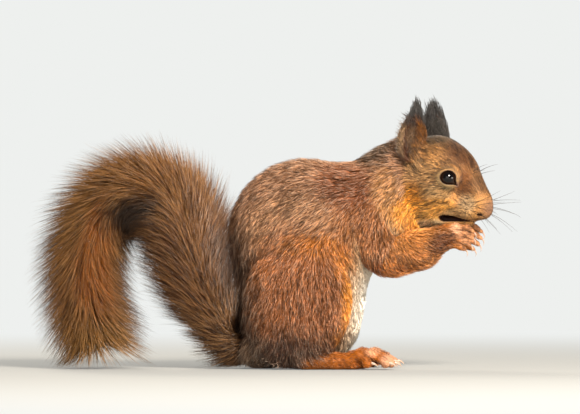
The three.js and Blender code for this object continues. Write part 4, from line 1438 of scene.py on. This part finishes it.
def grow(name, chosen, steps, group_size, pull, slot, strand):
    """One piece of the coat, made of a lock for each chosen root."""
    path, d, n = lay_locks(chosen, steps, group_size, pull)
    path[..., 2] = np.maximum(path[..., 2], LOWEST_HAIR)
    across = unit(np.cross(n, d))
    thick = hair["width"][chosen] * rng.uniform(0.7, 1.25, len(path))
    shine = strands(streaks(path[:, 0], d, strand["reach"], strand["cell"]), strand["own"])
    shine = shine ** (strand["contrast"] * (1 - 0.8 * cream[chosen]))
    values = {
        "coat_colour": paint(roots["at"][chosen], roots["part"][chosen]),
        "strand": np.minimum(shine, strand["brightest"]),
        "frost": hair["frost"][chosen],
    }
    blade_mesh(name, path, across, n, thick, roots["uv"][chosen], values, slot)


left = roots["at"][:, 1] > 0
tall = roots["at"][:, 2] > 78
forward = roots["at"][:, 0] > 30
left_face = on_straight_head[:, 1] > 0
body, thigh, paw = of_part("trunk"), of_part("thighs"), of_part("hands", "feet")
shoulder, ear = of_part("upper_arms", "neck"), of_part("ear_right", "ear_left")
# Name, roots, points on a lock's path, locks in a group, how far they cling, slot and strands.
for row in (
    ("coat_back", body & tall, 3, 4, 0.15, "back_fur", BODY_STRANDS),
    ("coat_rump", body & ~tall & ~forward, 3, 4, 0.15, "back_fur", BODY_STRANDS),
    ("coat_belly", body & ~tall & forward, 3, 3, 0.05, "back_fur", BODY_STRANDS),
    ("coat_haunch_right", thigh & ~left, 3, 4, 0.15, "flank_fur", BODY_STRANDS),
    ("coat_haunch_left", thigh & left, 3, 4, 0.15, "flank_fur", BODY_STRANDS),
    ("coat_shoulders", shoulder, 3, 4, 0.15, "back_fur", BODY_STRANDS),
    ("coat_forearms", arm, 3, 4, 0.15, "limb_fur", ARM_STRANDS),
    ("coat_hands_feet", paw, 3, 4, 0.2, "limb_fur", PAW_STRANDS),
    ("coat_head_right", face & ~left_face, 2, 3, 0.2, "face_fur", FACE_STRANDS),
    ("coat_head_left", face & left_face, 2, 3, 0.2, "face_fur", FACE_STRANDS),
    ("coat_ears", ear, 3, 4, 0.3, "ear_fur", EAR_STRANDS),
):
    grow(*row)

# %% [markdown]
# ## The tail's hair
# Tail hair leaves the core at a slant and sweeps towards the tip. How far it stands out follows
# the tail's outline, which is widest over the arch. On the side that faces into the arch a
# second table makes it stand out more or less.

# %% Paths of the tail's hairs
# How far hairs stand out from the core, in even steps from the root of the tail to its tip.
TAIL_REACH = np.array([14, 17, 22, 27, 30.5, 32, 31.5, 30, 29, 29, 30, 30, 30, 30, 27])
# How many times as far they stand out inside the arch, at places from 0 to 1 along the core.
INNER_AT = [0, 0.1, 0.2, 0.3, 0.45, 0.6, 0.8, 0.9, 1]
INNER_TIMES = [0.8, 0.95, 1.1, 1.1, 1.3, 1.05, 1, 1.15, 1.15]
UNDERCOAT, LOWEST_TAIL_HAIR = 3, 0.3


def tail_paths(p, place, out, nearest):
    """Hairs with one bend: partly following the core's curve, partly straight."""
    count = len(p)
    steps = np.linspace(0, 1, len(TAIL_REACH))
    rise = np.interp(np.clip(place + 0.05, 0, 1), steps, TAIL_REACH)
    rise = rise * rng.uniform(0.62, 1.08, count)
    ahead = rise * rng.uniform(0.55, 1.0, count)
    step = TAIL_LENGTH / (len(core) - 1)
    normal = np.stack([-core_along[:, 1], core_along[:, 0]], 1)
    level = (out[:, [0, 2]] * normal[nearest]).sum(1)
    inner = smooth_step(-0.3, 0.7, level)
    rise = rise * (1 + inner * (np.interp(place, INNER_AT, INNER_TIMES) - 1))
    straight = (0.7 - 0.35 * inner + 0.4 * (place < 0.12))[:, None]
    path = [p - 0.3 * out]
    for t in (0.45, 1.0):
        far = nearest + ahead * t**1.1 / step
        beyond = np.maximum(far - (len(core) - 1), 0) * step
        i = np.clip(far.astype(int), 0, len(core) - 1)
        radius = (UNDERCOAT + (rise - UNDERCOAT) * t**0.95)[:, None]
        bent = core[i] + core_along[i] * beyond[:, None] + normal[i] * level[:, None] * radius
        ray = core[nearest] + core_along[nearest] * (ahead * t)[:, None]
        ray = ray + normal[nearest] * level[:, None] * radius
        flat = bent + straight * (ray - bent)
        path.append(np.stack([flat[:, 0], out[:, 1] * radius[:, 0] * 1.1, flat[:, 1]], 1))
    path = np.stack(path, 1)
    path[:, 1:] += rng.normal(size=(count, 2, 3)) * np.array([0.5, 1.3])[None, :, None]
    path = follow_leaders(path, 6, 0.25)
    path[..., 2] = np.maximum(path[..., 2], LOWEST_TAIL_HAIR)
    return path


print("tail roots:", int(of_part("tail").sum()))


# %% Tail hair in three lengths of the tail
def grow_tail():
    chosen = of_part("tail")
    p = roots["at"][chosen]
    place, offset, nearest = tail_place(p)
    out = unit(offset)
    path = tail_paths(p, place, out, nearest)
    long = np.linalg.norm(np.diff(path, axis=1), axis=2).sum(1)
    print("tail hair, shortest, middling and longest:", np.percentile(long, [0, 50, 100]).round(), "mm")
    d = unit(path[:, -1] - path[:, 0])
    across = unit(np.cross(out, d))
    colour = paint(p, roots["part"][chosen])
    values = {
        "coat_colour": colour,
        "strand": strands(streaks(path[:, 1], d, 3.5, 0.8), 0.9),
        "frost": smooth_step(0.01, 0.06, brightness(colour)),
    }
    thick = rng.uniform(0.27, 0.48, len(p))
    for name, start, end in (
        ("tail_hair_rise", 0, 0.4), ("tail_hair_arch", 0.4, 0.68), ("tail_hair_hanging", 0.68, 1.01),
    ):
        m = (place >= start) & (place < end)
        blade_mesh(
            name, path[m], across[m], unit(np.cross(d, across))[m], thick[m],
            roots["uv"][chosen][m], {k: v[m] for k, v in values.items()}, "tail_fur",
        )


grow_tail()

# %% [markdown]
# ## Ear tufts
# In its winter coat a red squirrel carries a tuft of long dark hair on each ear. The locks
# start on the back and the top of the ear, stand up and close to a point, like a wet brush.

# %% Ear tufts: tip and roots are placed on the straight head
TUFTS = {
    "right": {"tip": [88.2, -16.0, 151.6], "count": 330, "spread": 0.55, "from": 5.5, "fan": 0.1},
    "left": {"tip": [86.9, 15.5, 150.6], "count": 900, "spread": 1.1, "from": -2.0, "fan": 0.5},
}


def grow_tuft(side):
    """Long locks from the back and top of one ear, drawn together near one tip."""
    of_ear = np.flatnonzero(of_part("ear_" + side))
    q = to_head(roots["at"][of_ear])
    w = ear_frame(q, EARS[side])
    tuft = TUFTS[side]
    behind = (w[:, 1] < 0) | (w[:, 2] > 5.5)
    high_up = of_ear[(w[:, 2] > tuft["from"]) & behind]
    chosen = rng.choice(high_up, tuft["count"])
    q = to_head(roots["at"][chosen])
    w = ear_frame(q, EARS[side])
    up = (w[:, 2] - tuft["from"]) / (13.5 - tuft["from"])
    fan = np.stack([w[:, 0], 0 * up, -0.35 * np.abs(w[:, 0])], 1) * tuft["fan"]
    tip = np.array(tuft["tip"]) + fan
    loose = rng.normal(size=(len(q), 3)) * [1.6, 0.8, 1.4] * tuft["spread"]
    reach = rng.uniform(0.55, 1.0, len(q)) * (0.55 + 0.45 * up)
    goal = q + (tip + loose - q) * reach[:, None]
    bend = np.array([1.6, 0, 0]) * rng.uniform(0.2, 1.0, (len(q), 1))
    path = np.stack([q, q + (goal - q) * 0.35 + bend, q + (goal - q) * 0.7 + bend, goal], 1)
    path = follow_leaders(path, 7, 0.4)
    path = np.stack([from_head(path[:, k]) for k in range(4)], 1)
    d = unit(path[:, -1] - path[:, 0])
    across = unit(np.cross(d, [0.0, 1.0, 0.0]))
    values = {
        "coat_colour": np.tile(linear("#2e2b2a"), (len(q), 1)),
        "strand": strands(rng.random(len(q)), 0.3),
        "frost": np.full(len(q), 0.12),
    }
    blade_mesh(
        "ear_tuft_" + side, path, across, np.cross(d, across), rng.uniform(0.3, 0.5, len(q)),
        roots["uv"][chosen], values, "ear_fur",
    )


grow_tuft("right")
grow_tuft("left")
for what in ("locks", "triangles"):
    print(what, "in the coat:", sum(row[what] for row in coat))

# %% [markdown]
# ## Eyes
# A taxidermist sets a glass eye into the socket and lays the lids over it. A squirrel's eye is
# almost all pupil and bulges a little at the cornea, so each is a ball turned on a lathe about
# the way it looks, with a slightly taller front.

# %% Eyes
def lathe(centre, axis, profile, around=48):
    """Turns a profile of [radius, distance along the axis] about an axis."""
    axis = unit(axis)
    first = unit(np.cross(axis, [0.0, 0.0, 1.0]))
    second = np.cross(axis, first)
    angle = np.linspace(0, 2 * math.pi, around, endpoint=False)
    spoke = np.cos(angle)[:, None] * first + np.sin(angle)[:, None] * second
    points = [np.array(centre) + axis * profile[0][1]]
    for radius, out in profile[1:-1]:
        points += list(np.array(centre) + axis * out + spoke * radius)
    points.append(np.array(centre) + axis * profile[-1][1])
    rings, loops, sizes = len(profile) - 2, [], []
    for j in range(around):
        k = (j + 1) % around
        loops += [0, 1 + k, 1 + j]
        for r in range(rings - 1):
            a, b = 1 + r * around, 1 + (r + 1) * around
            loops += [a + j, a + k, b + k, b + j]
        loops += [1 + (rings - 1) * around + j, 1 + (rings - 1) * around + k, len(points) - 1]
        sizes += [3] + [4] * (rings - 1) + [3]
    return np.array(points), loops, sizes


CORNEA_RISE, CORNEA_SPREAD, PROFILE_POINTS = 0.035, 0.55, 30


def eye_profile():
    swing = np.linspace(math.pi, 0, PROFILE_POINTS)
    cornea = 1 + CORNEA_RISE * np.exp(-((swing / CORNEA_SPREAD) ** 2))
    return np.stack([EYE_RADIUS * np.sin(swing) * cornea, EYE_RADIUS * np.cos(swing) * cornea], 1)


eyes = []
for side, sign in (("right", -1), ("left", 1)):
    centre = from_head(EYE[None] * [1, sign, 1])[0]
    axis = turn_vectors(EYE_AXIS[None] * [1, sign, 1])[0]
    points, loops, sizes = lathe(centre, axis, eye_profile())
    from_middle = np.linalg.norm(np.cross(points - centre, axis), axis=1)
    at_back = (points - centre) @ axis < 0
    iris = np.where(at_back, 2.0, from_middle / EYE_RADIUS)
    eye = make_piece("glass_eye_" + side, points, loops, sizes, None, {"iris": iris})
    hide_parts("eye_" + side)
    eyes.append(eye)
print("eyes:", [e.name for e in eyes])

# %% [markdown]
# ## Claws and whiskers
# Claws are curved horns, a little taller than they are wide, and whiskers are stiff tapering
# hairs. Both are tubes swept along a bent line, which is quick and stays closed.

# %% Tubes along a bend
NEARLY_UP = [0.31, 0.0, 1.0]


def tube(path, radii, sides, tall=1.0):
    """A closed tube along a path; tall is height over width of its section."""
    path = np.asarray(path, float)
    along = unit(np.gradient(path, axis=0))
    side = np.cross(along[0], NEARLY_UP)
    across = unit(side - (along @ side)[:, None] * along)
    up = np.cross(across, along)
    angle = np.linspace(0, 2 * math.pi, sides, endpoint=False)
    rings = [
        p + r * (np.cos(angle)[:, None] * a + tall * np.sin(angle)[:, None] * u)
        for p, r, a, u in zip(path, radii, across, up)
    ]
    points = np.vstack(rings)
    loops, sizes = list(range(sides))[::-1], [sides]
    for r in range(len(path) - 1):
        for j in range(sides):
            k = (j + 1) % sides
            loops += [r * sides + j, r * sides + k, (r + 1) * sides + k, (r + 1) * sides + j]
            sizes.append(4)
    loops += [(len(path) - 1) * sides + j for j in range(sides)]
    return points, loops, sizes + [sides], np.repeat(np.linspace(0, 1, len(path)), sides)


def gather(name, tubes):
    points, loops, sizes, along, first = [], [], [], [], 0
    for p, l, s, t in tubes:
        points.append(p)
        loops += [first + i for i in l]
        sizes += s
        along.append(t)
        first += len(p)
    return make_piece(name, np.vstack(points), loops, sizes, None, {"along": np.concatenate(along)})


print("a tube of 3 rings has", len(tube(np.eye(3), [1, 1, 1], 5)[0]), "points")


# %% Claws
CLAW_TAPER, CLAW_SIDES, CLAW_TALL = 0.93, 10, 1.25
TOE_CLAW = {"length": 5.8, "radius": 0.9, "curl": 75}
FINGER_CLAW = {"length": 5.0, "radius": 0.45, "curl": 110}
TOE_CLAW_HEIGHT = 3.3


def claw(base, heading, length, radius, curl, steps=8):
    """A horn that starts along heading and curls down by curl degrees."""
    place, direction, path = np.array(base, float), unit(heading), []
    turn = math.radians(curl) / steps
    c, s = math.cos(turn), math.sin(turn)
    for _ in range(steps + 1):
        path.append(place.copy())
        place += direction * length / steps
        x, y, z = direction
        direction = np.array([x * c + z * s, y, z * c - x * s])
    radii = radius * (1 - CLAW_TAPER * np.linspace(0, 1, steps + 1) ** 1.3)
    return tube(path, radii, CLAW_SIDES, CLAW_TALL)


toe_claws, finger_claws = [], []
for sign, foot_forward, hand_forward in ((-1, 0, 0), (1, LEFT_FOOT_FORWARD, LEFT_HAND_FORWARD)):
    for _, out, _, x in TOES:
        base = [x - 0.4 + foot_forward, sign * (FOOT_SPREAD - out), TOE_CLAW_HEIGHT]
        toe_claws.append(claw(base, [1, 0, 0.2], **TOE_CLAW))
    for _, _, tip, fan in FINGERS:
        base = [tip[0] - 0.2 + hand_forward, HAND_MID_Y + sign * (HAND_OFFSET + fan), tip[1] - 0.2]
        finger_claws.append(claw(base, [0.9, 0, -0.35], **FINGER_CLAW))
toe_claw_piece = gather("toe_claws", toe_claws)
finger_claw_piece = gather("finger_claws", finger_claws)
for side in ("right", "left"):
    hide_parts(*[f"toe_claw_{side}_{i}" for i in range(1, 6)])
    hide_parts(*[f"finger_claw_{side}_{i}" for i in range(1, 5)])
print("claws:", len(toe_claws), "on the toes,", len(finger_claws), "on the fingers")

# %% Whiskers: root, heading, length and droop, on the straight head's left side
WHISKERS = [
    [(118.5, 7.0, 90.5), (0.90, 0.35, 0.30), 21, 0.10],
    [(118.8, 6.8, 89.2), (0.93, 0.40, 0.16), 23, -0.10],
    [(118.6, 7.0, 88.0), (0.90, 0.45, 0.02), 20, -0.35],
    [(118.0, 7.2, 86.6), (0.85, 0.40, -0.22), 19, -0.55],
    [(116.8, 7.6, 90.6), (0.80, 0.55, 0.22), 24, -0.25],
    [(116.6, 7.8, 89.0), (0.80, 0.62, 0.02), 24, -0.45],
    [(116.4, 7.8, 87.2), (0.70, 0.60, -0.25), 20, -0.55],
    [(115.4, 8.0, 85.8), (0.62, 0.60, -0.55), 16, -0.30],
    [(114.6, 8.3, 88.4), (0.30, 0.95, 0.08), 20, -0.40],
    [(114.2, 8.2, 86.6), (0.25, 0.90, -0.30), 17, -0.40],
    [(112.6, 8.6, 89.6), (-0.10, 0.98, 0.15), 16, -0.30],
    [(116.8, 5.4, 107.6), (0.80, 0.25, 0.55), 13, -0.35],
    [(116.4, 6.0, 106.2), (0.85, 0.35, 0.35), 11, -0.20],
    [(104.6, 15.2, 93.6), (0.10, 0.95, -0.25), 9, -0.25],
]
WHISKER_RADIUS, WHISKER_TAPER, FURTHEST_FORWARD = 0.17, 0.8, 140.5


def whisker(root, heading, length, droop):
    t = np.linspace(0, 1, 11)[:, None]
    fall = np.array([0, 0, droop * length * 0.6])
    path = np.array(root) + unit(heading) * length * t + fall * t**2
    return path, WHISKER_RADIUS * (1 - WHISKER_TAPER * t[:, 0])


whisker_tubes = []
for sign in (-1, 1):
    for root, heading, length, droop in WHISKERS:
        path, radii = whisker(root, heading, length * rng.uniform(0.9, 1.08), droop)
        path = from_head(path * [1, sign, 1])
        path[:, 0] = np.minimum(path[:, 0], FURTHEST_FORWARD)
        whisker_tubes.append(tube(path, radii, 5))
whiskers = gather("whiskers", whisker_tubes)
print("whiskers:", len(whisker_tubes))

# %% [markdown]
# ## Materials
# Hair is horn drawn thin: it has a soft gloss and a faint sheen. A lock is dark at the root, in
# its neighbours' shade, and its tip is banded pale where the coat is frosted, most of all on
# the back, which gives the grizzled look.

# %% Adding nodes
def add(tree, kind, inputs=None, **settings):
    """Adds a node, sets it up and plugs in its inputs: values, or other nodes' sockets."""
    made = tree.nodes.new(kind)
    for key, value in settings.items():
        setattr(made, key, value)
    for key, value in (inputs or {}).items():
        if isinstance(value, bpy.types.NodeSocket):
            tree.links.new(value, made.inputs[key])
        else:
            made.inputs[key].default_value = value
    return made


def start_material(name):
    material = bpy.data.materials.new(name)
    material.use_nodes = True
    material.node_tree.nodes.clear()
    return material, material.node_tree


def finish_material(material, shader):
    add(material.node_tree, "ShaderNodeOutputMaterial", {"Surface": shader})
    print("material:", material.name)
    return material


def rgba(hex_colour):
    return (*linear(hex_colour), 1.0)


def carried(tree, name, socket="Fac"):
    return add(tree, "ShaderNodeAttribute", attribute_name=name).outputs[socket]


def ramp(tree, value, low, high, to_low, to_high):
    made = add(tree, "ShaderNodeMapRange", {
        "Value": value, "From Min": low, "From Max": high, "To Min": to_low, "To Max": to_high,
    }, interpolation_type="SMOOTHSTEP")
    return made.outputs["Result"]


def times(tree, a, b):
    return add(tree, "ShaderNodeMath", {0: a, 1: b}, operation="MULTIPLY").outputs[0]


def dimmed(tree, colour, amount):
    made = add(tree, "ShaderNodeVectorMath", {0: colour, "Scale": amount}, operation="SCALE")
    return made.outputs[0]


def mixed(tree, amount, a, b):
    made = add(tree, "ShaderNodeMix", {0: amount, 6: a, 7: b}, data_type="RGBA")
    return made.outputs[2]


# %% Fur
def fur_material(name, root_shade, pale, gloss, fleck, depth):
    """Hair darker at the root and paler at the tip, in flecks of a size in millimetres."""
    material, tree = start_material(name)
    along, strand = carried(tree, "along"), carried(tree, "strand")
    place = add(tree, "ShaderNodeTexCoord").outputs["Object"]
    noise = add(tree, "ShaderNodeTexNoise", {
        "Vector": place, "Scale": 1 / (fleck * MM), "Detail": 1.0}).outputs[0]
    flecks = ramp(tree, noise, 0.36, 0.62, 1 - depth, 1 + depth)
    shade = times(tree, ramp(tree, along, 0.0, 0.55, root_shade, 1.0), times(tree, strand, flecks))
    colour = dimmed(tree, carried(tree, "coat_colour", "Color"), shade)
    banded = times(tree, ramp(tree, along, 0.4, 0.95, 0.0, 1.0),
                   ramp(tree, strand, 0.9, 1.35, 0.0, 0.9))
    colour = mixed(tree, times(tree, carried(tree, "frost"), banded), colour, rgba(pale))
    shader = add(tree, "ShaderNodeBsdfPrincipled", {
        "Base Color": colour, "Roughness": gloss, "IOR": 1.55, "Specular IOR Level": 0.5,
        "Sheen Weight": 0.05, "Sheen Roughness": 0.4,
    })
    return finish_material(material, shader.outputs[0])


# Name, shade at the root, colour of the tip, roughness, and the flecks' size and depth.
body_fur = fur_material("guard hair, grizzled", 0.55, "#efd3bc", 0.36, 2.0, 0.06)
face_fur = fur_material("short face hair", 0.5, "#e2c29c", 0.46, 0.9, 0.15)
limb_fur = fur_material("orange limb hair", 0.55, "#ecc8a2", 0.38, 1.6, 0.1)
tail_fur = fur_material("long tail hair", 0.36, "#bb8d5c", 0.34, 2.5, 0.12)
tuft_fur = fur_material("dark ear tuft", 0.6, "#857a70", 0.4, 1.2, 0.25)
FURS = {
    "back_fur": body_fur, "flank_fur": body_fur, "face_fur": face_fur, "limb_fur": limb_fur,
    "tail_fur": tail_fur, "ear_fur": tuft_fur,
}
for row in coat:
    row["piece"].data.materials.append(FURS[row["slot"]])


# %% Skin
def skin_material():
    material, tree = start_material("hide under the coat")
    place = add(tree, "ShaderNodeTexCoord").outputs["Object"]
    bare = carried(tree, "bareness")
    grain = add(tree, "ShaderNodeTexNoise", {
        "Vector": place, "Scale": 1 / (0.8 * MM), "Detail": 3.0, "Roughness": 0.6,
    }).outputs[0]
    patches = add(tree, "ShaderNodeTexNoise", {"Vector": place, "Scale": 1 / (3 * MM)}).outputs[0]
    # Under long hair the hide is darker: partly the dark underfur and partly painted shade from the
    # coat over it.
    shade = times(tree, ramp(tree, bare, 0.0, 1.0, 0.6, 0.98),
                  times(tree, ramp(tree, grain, 0.3, 0.7, 0.78, 1.15),
                        ramp(tree, patches, 0.3, 0.7, 0.92, 1.06)))
    colour = dimmed(tree, carried(tree, "coat_colour", "Color"), shade)
    bump = add(tree, "ShaderNodeBump", {"Strength": 0.35, "Distance": 0.15 * MM, "Height": grain})
    shader = add(tree, "ShaderNodeBsdfPrincipled", {
        "Base Color": colour, "Roughness": 0.6, "Specular IOR Level": 0.3,
        "Normal": bump.outputs[0],
    })
    return finish_material(material, shader.outputs[0])


skin.data.materials.append(skin_material())


# %% Glass, horn and bristle
def eye_material():
    material, tree = start_material("blown glass eye")
    iris = carried(tree, "iris")
    colour = mixed(tree, ramp(tree, iris, 0.45, 0.66, 0.0, 1.0), rgba("#070506"), rgba("#21130b"))
    shader = add(tree, "ShaderNodeBsdfPrincipled", {
        "Base Color": colour, "Roughness": 0.04, "IOR": 1.45, "Specular IOR Level": 0.4,
    })
    return finish_material(material, shader.outputs[0])


def claw_material():
    material, tree = start_material("pale horn")
    along = carried(tree, "along")
    colour = mixed(tree, ramp(tree, along, 0.0, 0.45, 0.0, 1.0), rgba("#946a58"), rgba("#b8a08e"))
    shader = add(tree, "ShaderNodeBsdfPrincipled", {
        "Base Color": colour, "Roughness": 0.25, "IOR": 1.54, "Subsurface Weight": 0.1,
        "Subsurface Scale": 0.5 * MM,
    })
    return finish_material(material, shader.outputs[0])


def bristle_material():
    material, tree = start_material("dark bristle")
    along = carried(tree, "along")
    colour = mixed(tree, along, rgba("#1f1a18"), rgba("#4a3f38"))
    shader = add(tree, "ShaderNodeBsdfPrincipled", {"Base Color": colour, "Roughness": 0.35})
    return finish_material(material, shader.outputs[0])


glass, horn = eye_material(), claw_material()
for piece in eyes:
    piece.data.materials.append(glass)
for piece in (toe_claw_piece, finger_claw_piece):
    piece.data.materials.append(horn)
whiskers.data.materials.append(bristle_material())

# %% [markdown]
# ## Studio
# A pale floor and a pale surround, a soft key lamp above the camera, a low lamp in front of the
# chest, a faint fill beside the camera, one behind for the edge of the coat, and even light
# from all round.

# %% Floor and surround
SURROUND = "#eef0ee"


def floor_material():
    """Matt card near the model, and the surround's own colour further off."""
    material, tree = start_material("matt card")
    place = add(tree, "ShaderNodeTexCoord").outputs["Object"]
    far = add(tree, "ShaderNodeVectorMath", {0: place}, operation="LENGTH").outputs["Value"]
    card = add(tree, "ShaderNodeBsdfPrincipled", {
        "Base Color": rgba("#a9aba9"), "Roughness": 0.9, "Specular IOR Level": 0.1})
    glow = add(tree, "ShaderNodeEmission", {"Color": rgba(SURROUND), "Strength": 1.0})
    seen = add(tree, "ShaderNodeLightPath").outputs["Is Camera Ray"]
    fade = times(tree, ramp(tree, far, 0.16, 0.9, 0.2, 1.0), seen)
    both = add(tree, "ShaderNodeMixShader", {0: fade, 1: card.outputs[0], 2: glow.outputs[0]})
    return finish_material(material, both.outputs[0])


FLOOR_SIZE, UNDER_THE_SOLES = 12, -0.0002
bpy.ops.mesh.primitive_plane_add(size=FLOOR_SIZE, location=(0, 0, UNDER_THE_SOLES))
floor = bpy.context.object
floor.name = "floor"
floor.data.materials.append(floor_material())
print("floor:", FLOOR_SIZE, "m across")


# %% Even light and what the camera sees behind the model
def light_surround():
    """Soft light on matt surfaces, less in reflections, and a plain pale backdrop."""
    world = bpy.data.worlds.new("surround")
    bpy.context.scene.world = world
    world.use_nodes = True
    world.node_tree.nodes.clear()
    tree = world.node_tree
    rays = add(tree, "ShaderNodeLightPath")

    def background(hex_colour, strength):
        inputs = {"Color": rgba(hex_colour), "Strength": strength}
        return add(tree, "ShaderNodeBackground", inputs).outputs[0]

    def mix(kind_of_ray, otherwise, then):
        inputs = {0: rays.outputs[kind_of_ray], 1: otherwise, 2: then}
        return add(tree, "ShaderNodeMixShader", inputs).outputs[0]

    soft, shown = background("#f4efe8", 0.6), background(SURROUND, 1.0)
    dim = background("#f4efe8", 0.15)
    lit = mix("Is Glossy Ray", soft, dim)
    add(tree, "ShaderNodeOutputWorld", {"Surface": mix("Is Camera Ray", lit, shown)})


light_surround()
print("surround:", SURROUND)


# %% Lamps
def lamp(name, place, aim, size, power, colour):
    """A square soft lamp: places and size in metres, power in watts."""
    light = bpy.data.lights.new(name, "AREA")
    light.size, light.energy, light.color = size, power, linear(colour)
    made = bpy.data.objects.new(name, light)
    bpy.context.scene.collection.objects.link(made)
    made.location = place
    made.rotation_euler = (Vector(aim) - Vector(place)).to_track_quat("-Z", "Y").to_euler()
    print("lamp:", name, power, "W")


for row in (
    ("key", (0.36, -1.02, 0.74), (0, 0, 0.08), 0.32, 31.0, "#fff2e2"),
    ("front", (0.85, -0.6, 0.02), (0.05, 0, 0.03), 0.4, 5.4, "#fff4e6"),
    ("fill", (-0.15, -1.1, 0.12), (0, 0, 0.07), 0.8, 4.0, "#f8f4f0"),
    ("edge", (-0.35, 0.75, 0.75), (0, 0, 0.08), 0.4, 6.0, "#fff3e2"),
):
    lamp(*row)

# %% [markdown]
# ## Camera
# A long lens from the side, level with the squirrel's shoulder, as from a hide.

# %% Camera
VIEW_MIDDLE = (13.2 * MM, 88.6 * MM)
VIEW_WIDTH, CAMERA_DISTANCE, SENSOR = 319 * MM, 3.0, 36.0
camera_data = bpy.data.cameras.new("camera")
camera = bpy.data.objects.new("camera", camera_data)
bpy.context.scene.collection.objects.link(camera)
camera_data.sensor_width = SENSOR
camera_data.lens = SENSOR * CAMERA_DISTANCE / VIEW_WIDTH
camera_data.clip_end = 30
camera.location = (VIEW_MIDDLE[0], -CAMERA_DISTANCE, VIEW_MIDDLE[1])
camera.rotation_euler = (math.pi / 2, 0, 0)
bpy.context.scene.camera = camera
bpy.context.scene.view_settings.view_transform = "Standard"
print("lens:", round(camera_data.lens), "mm")

# %% Bring the scene up to date
bpy.context.view_layer.update()
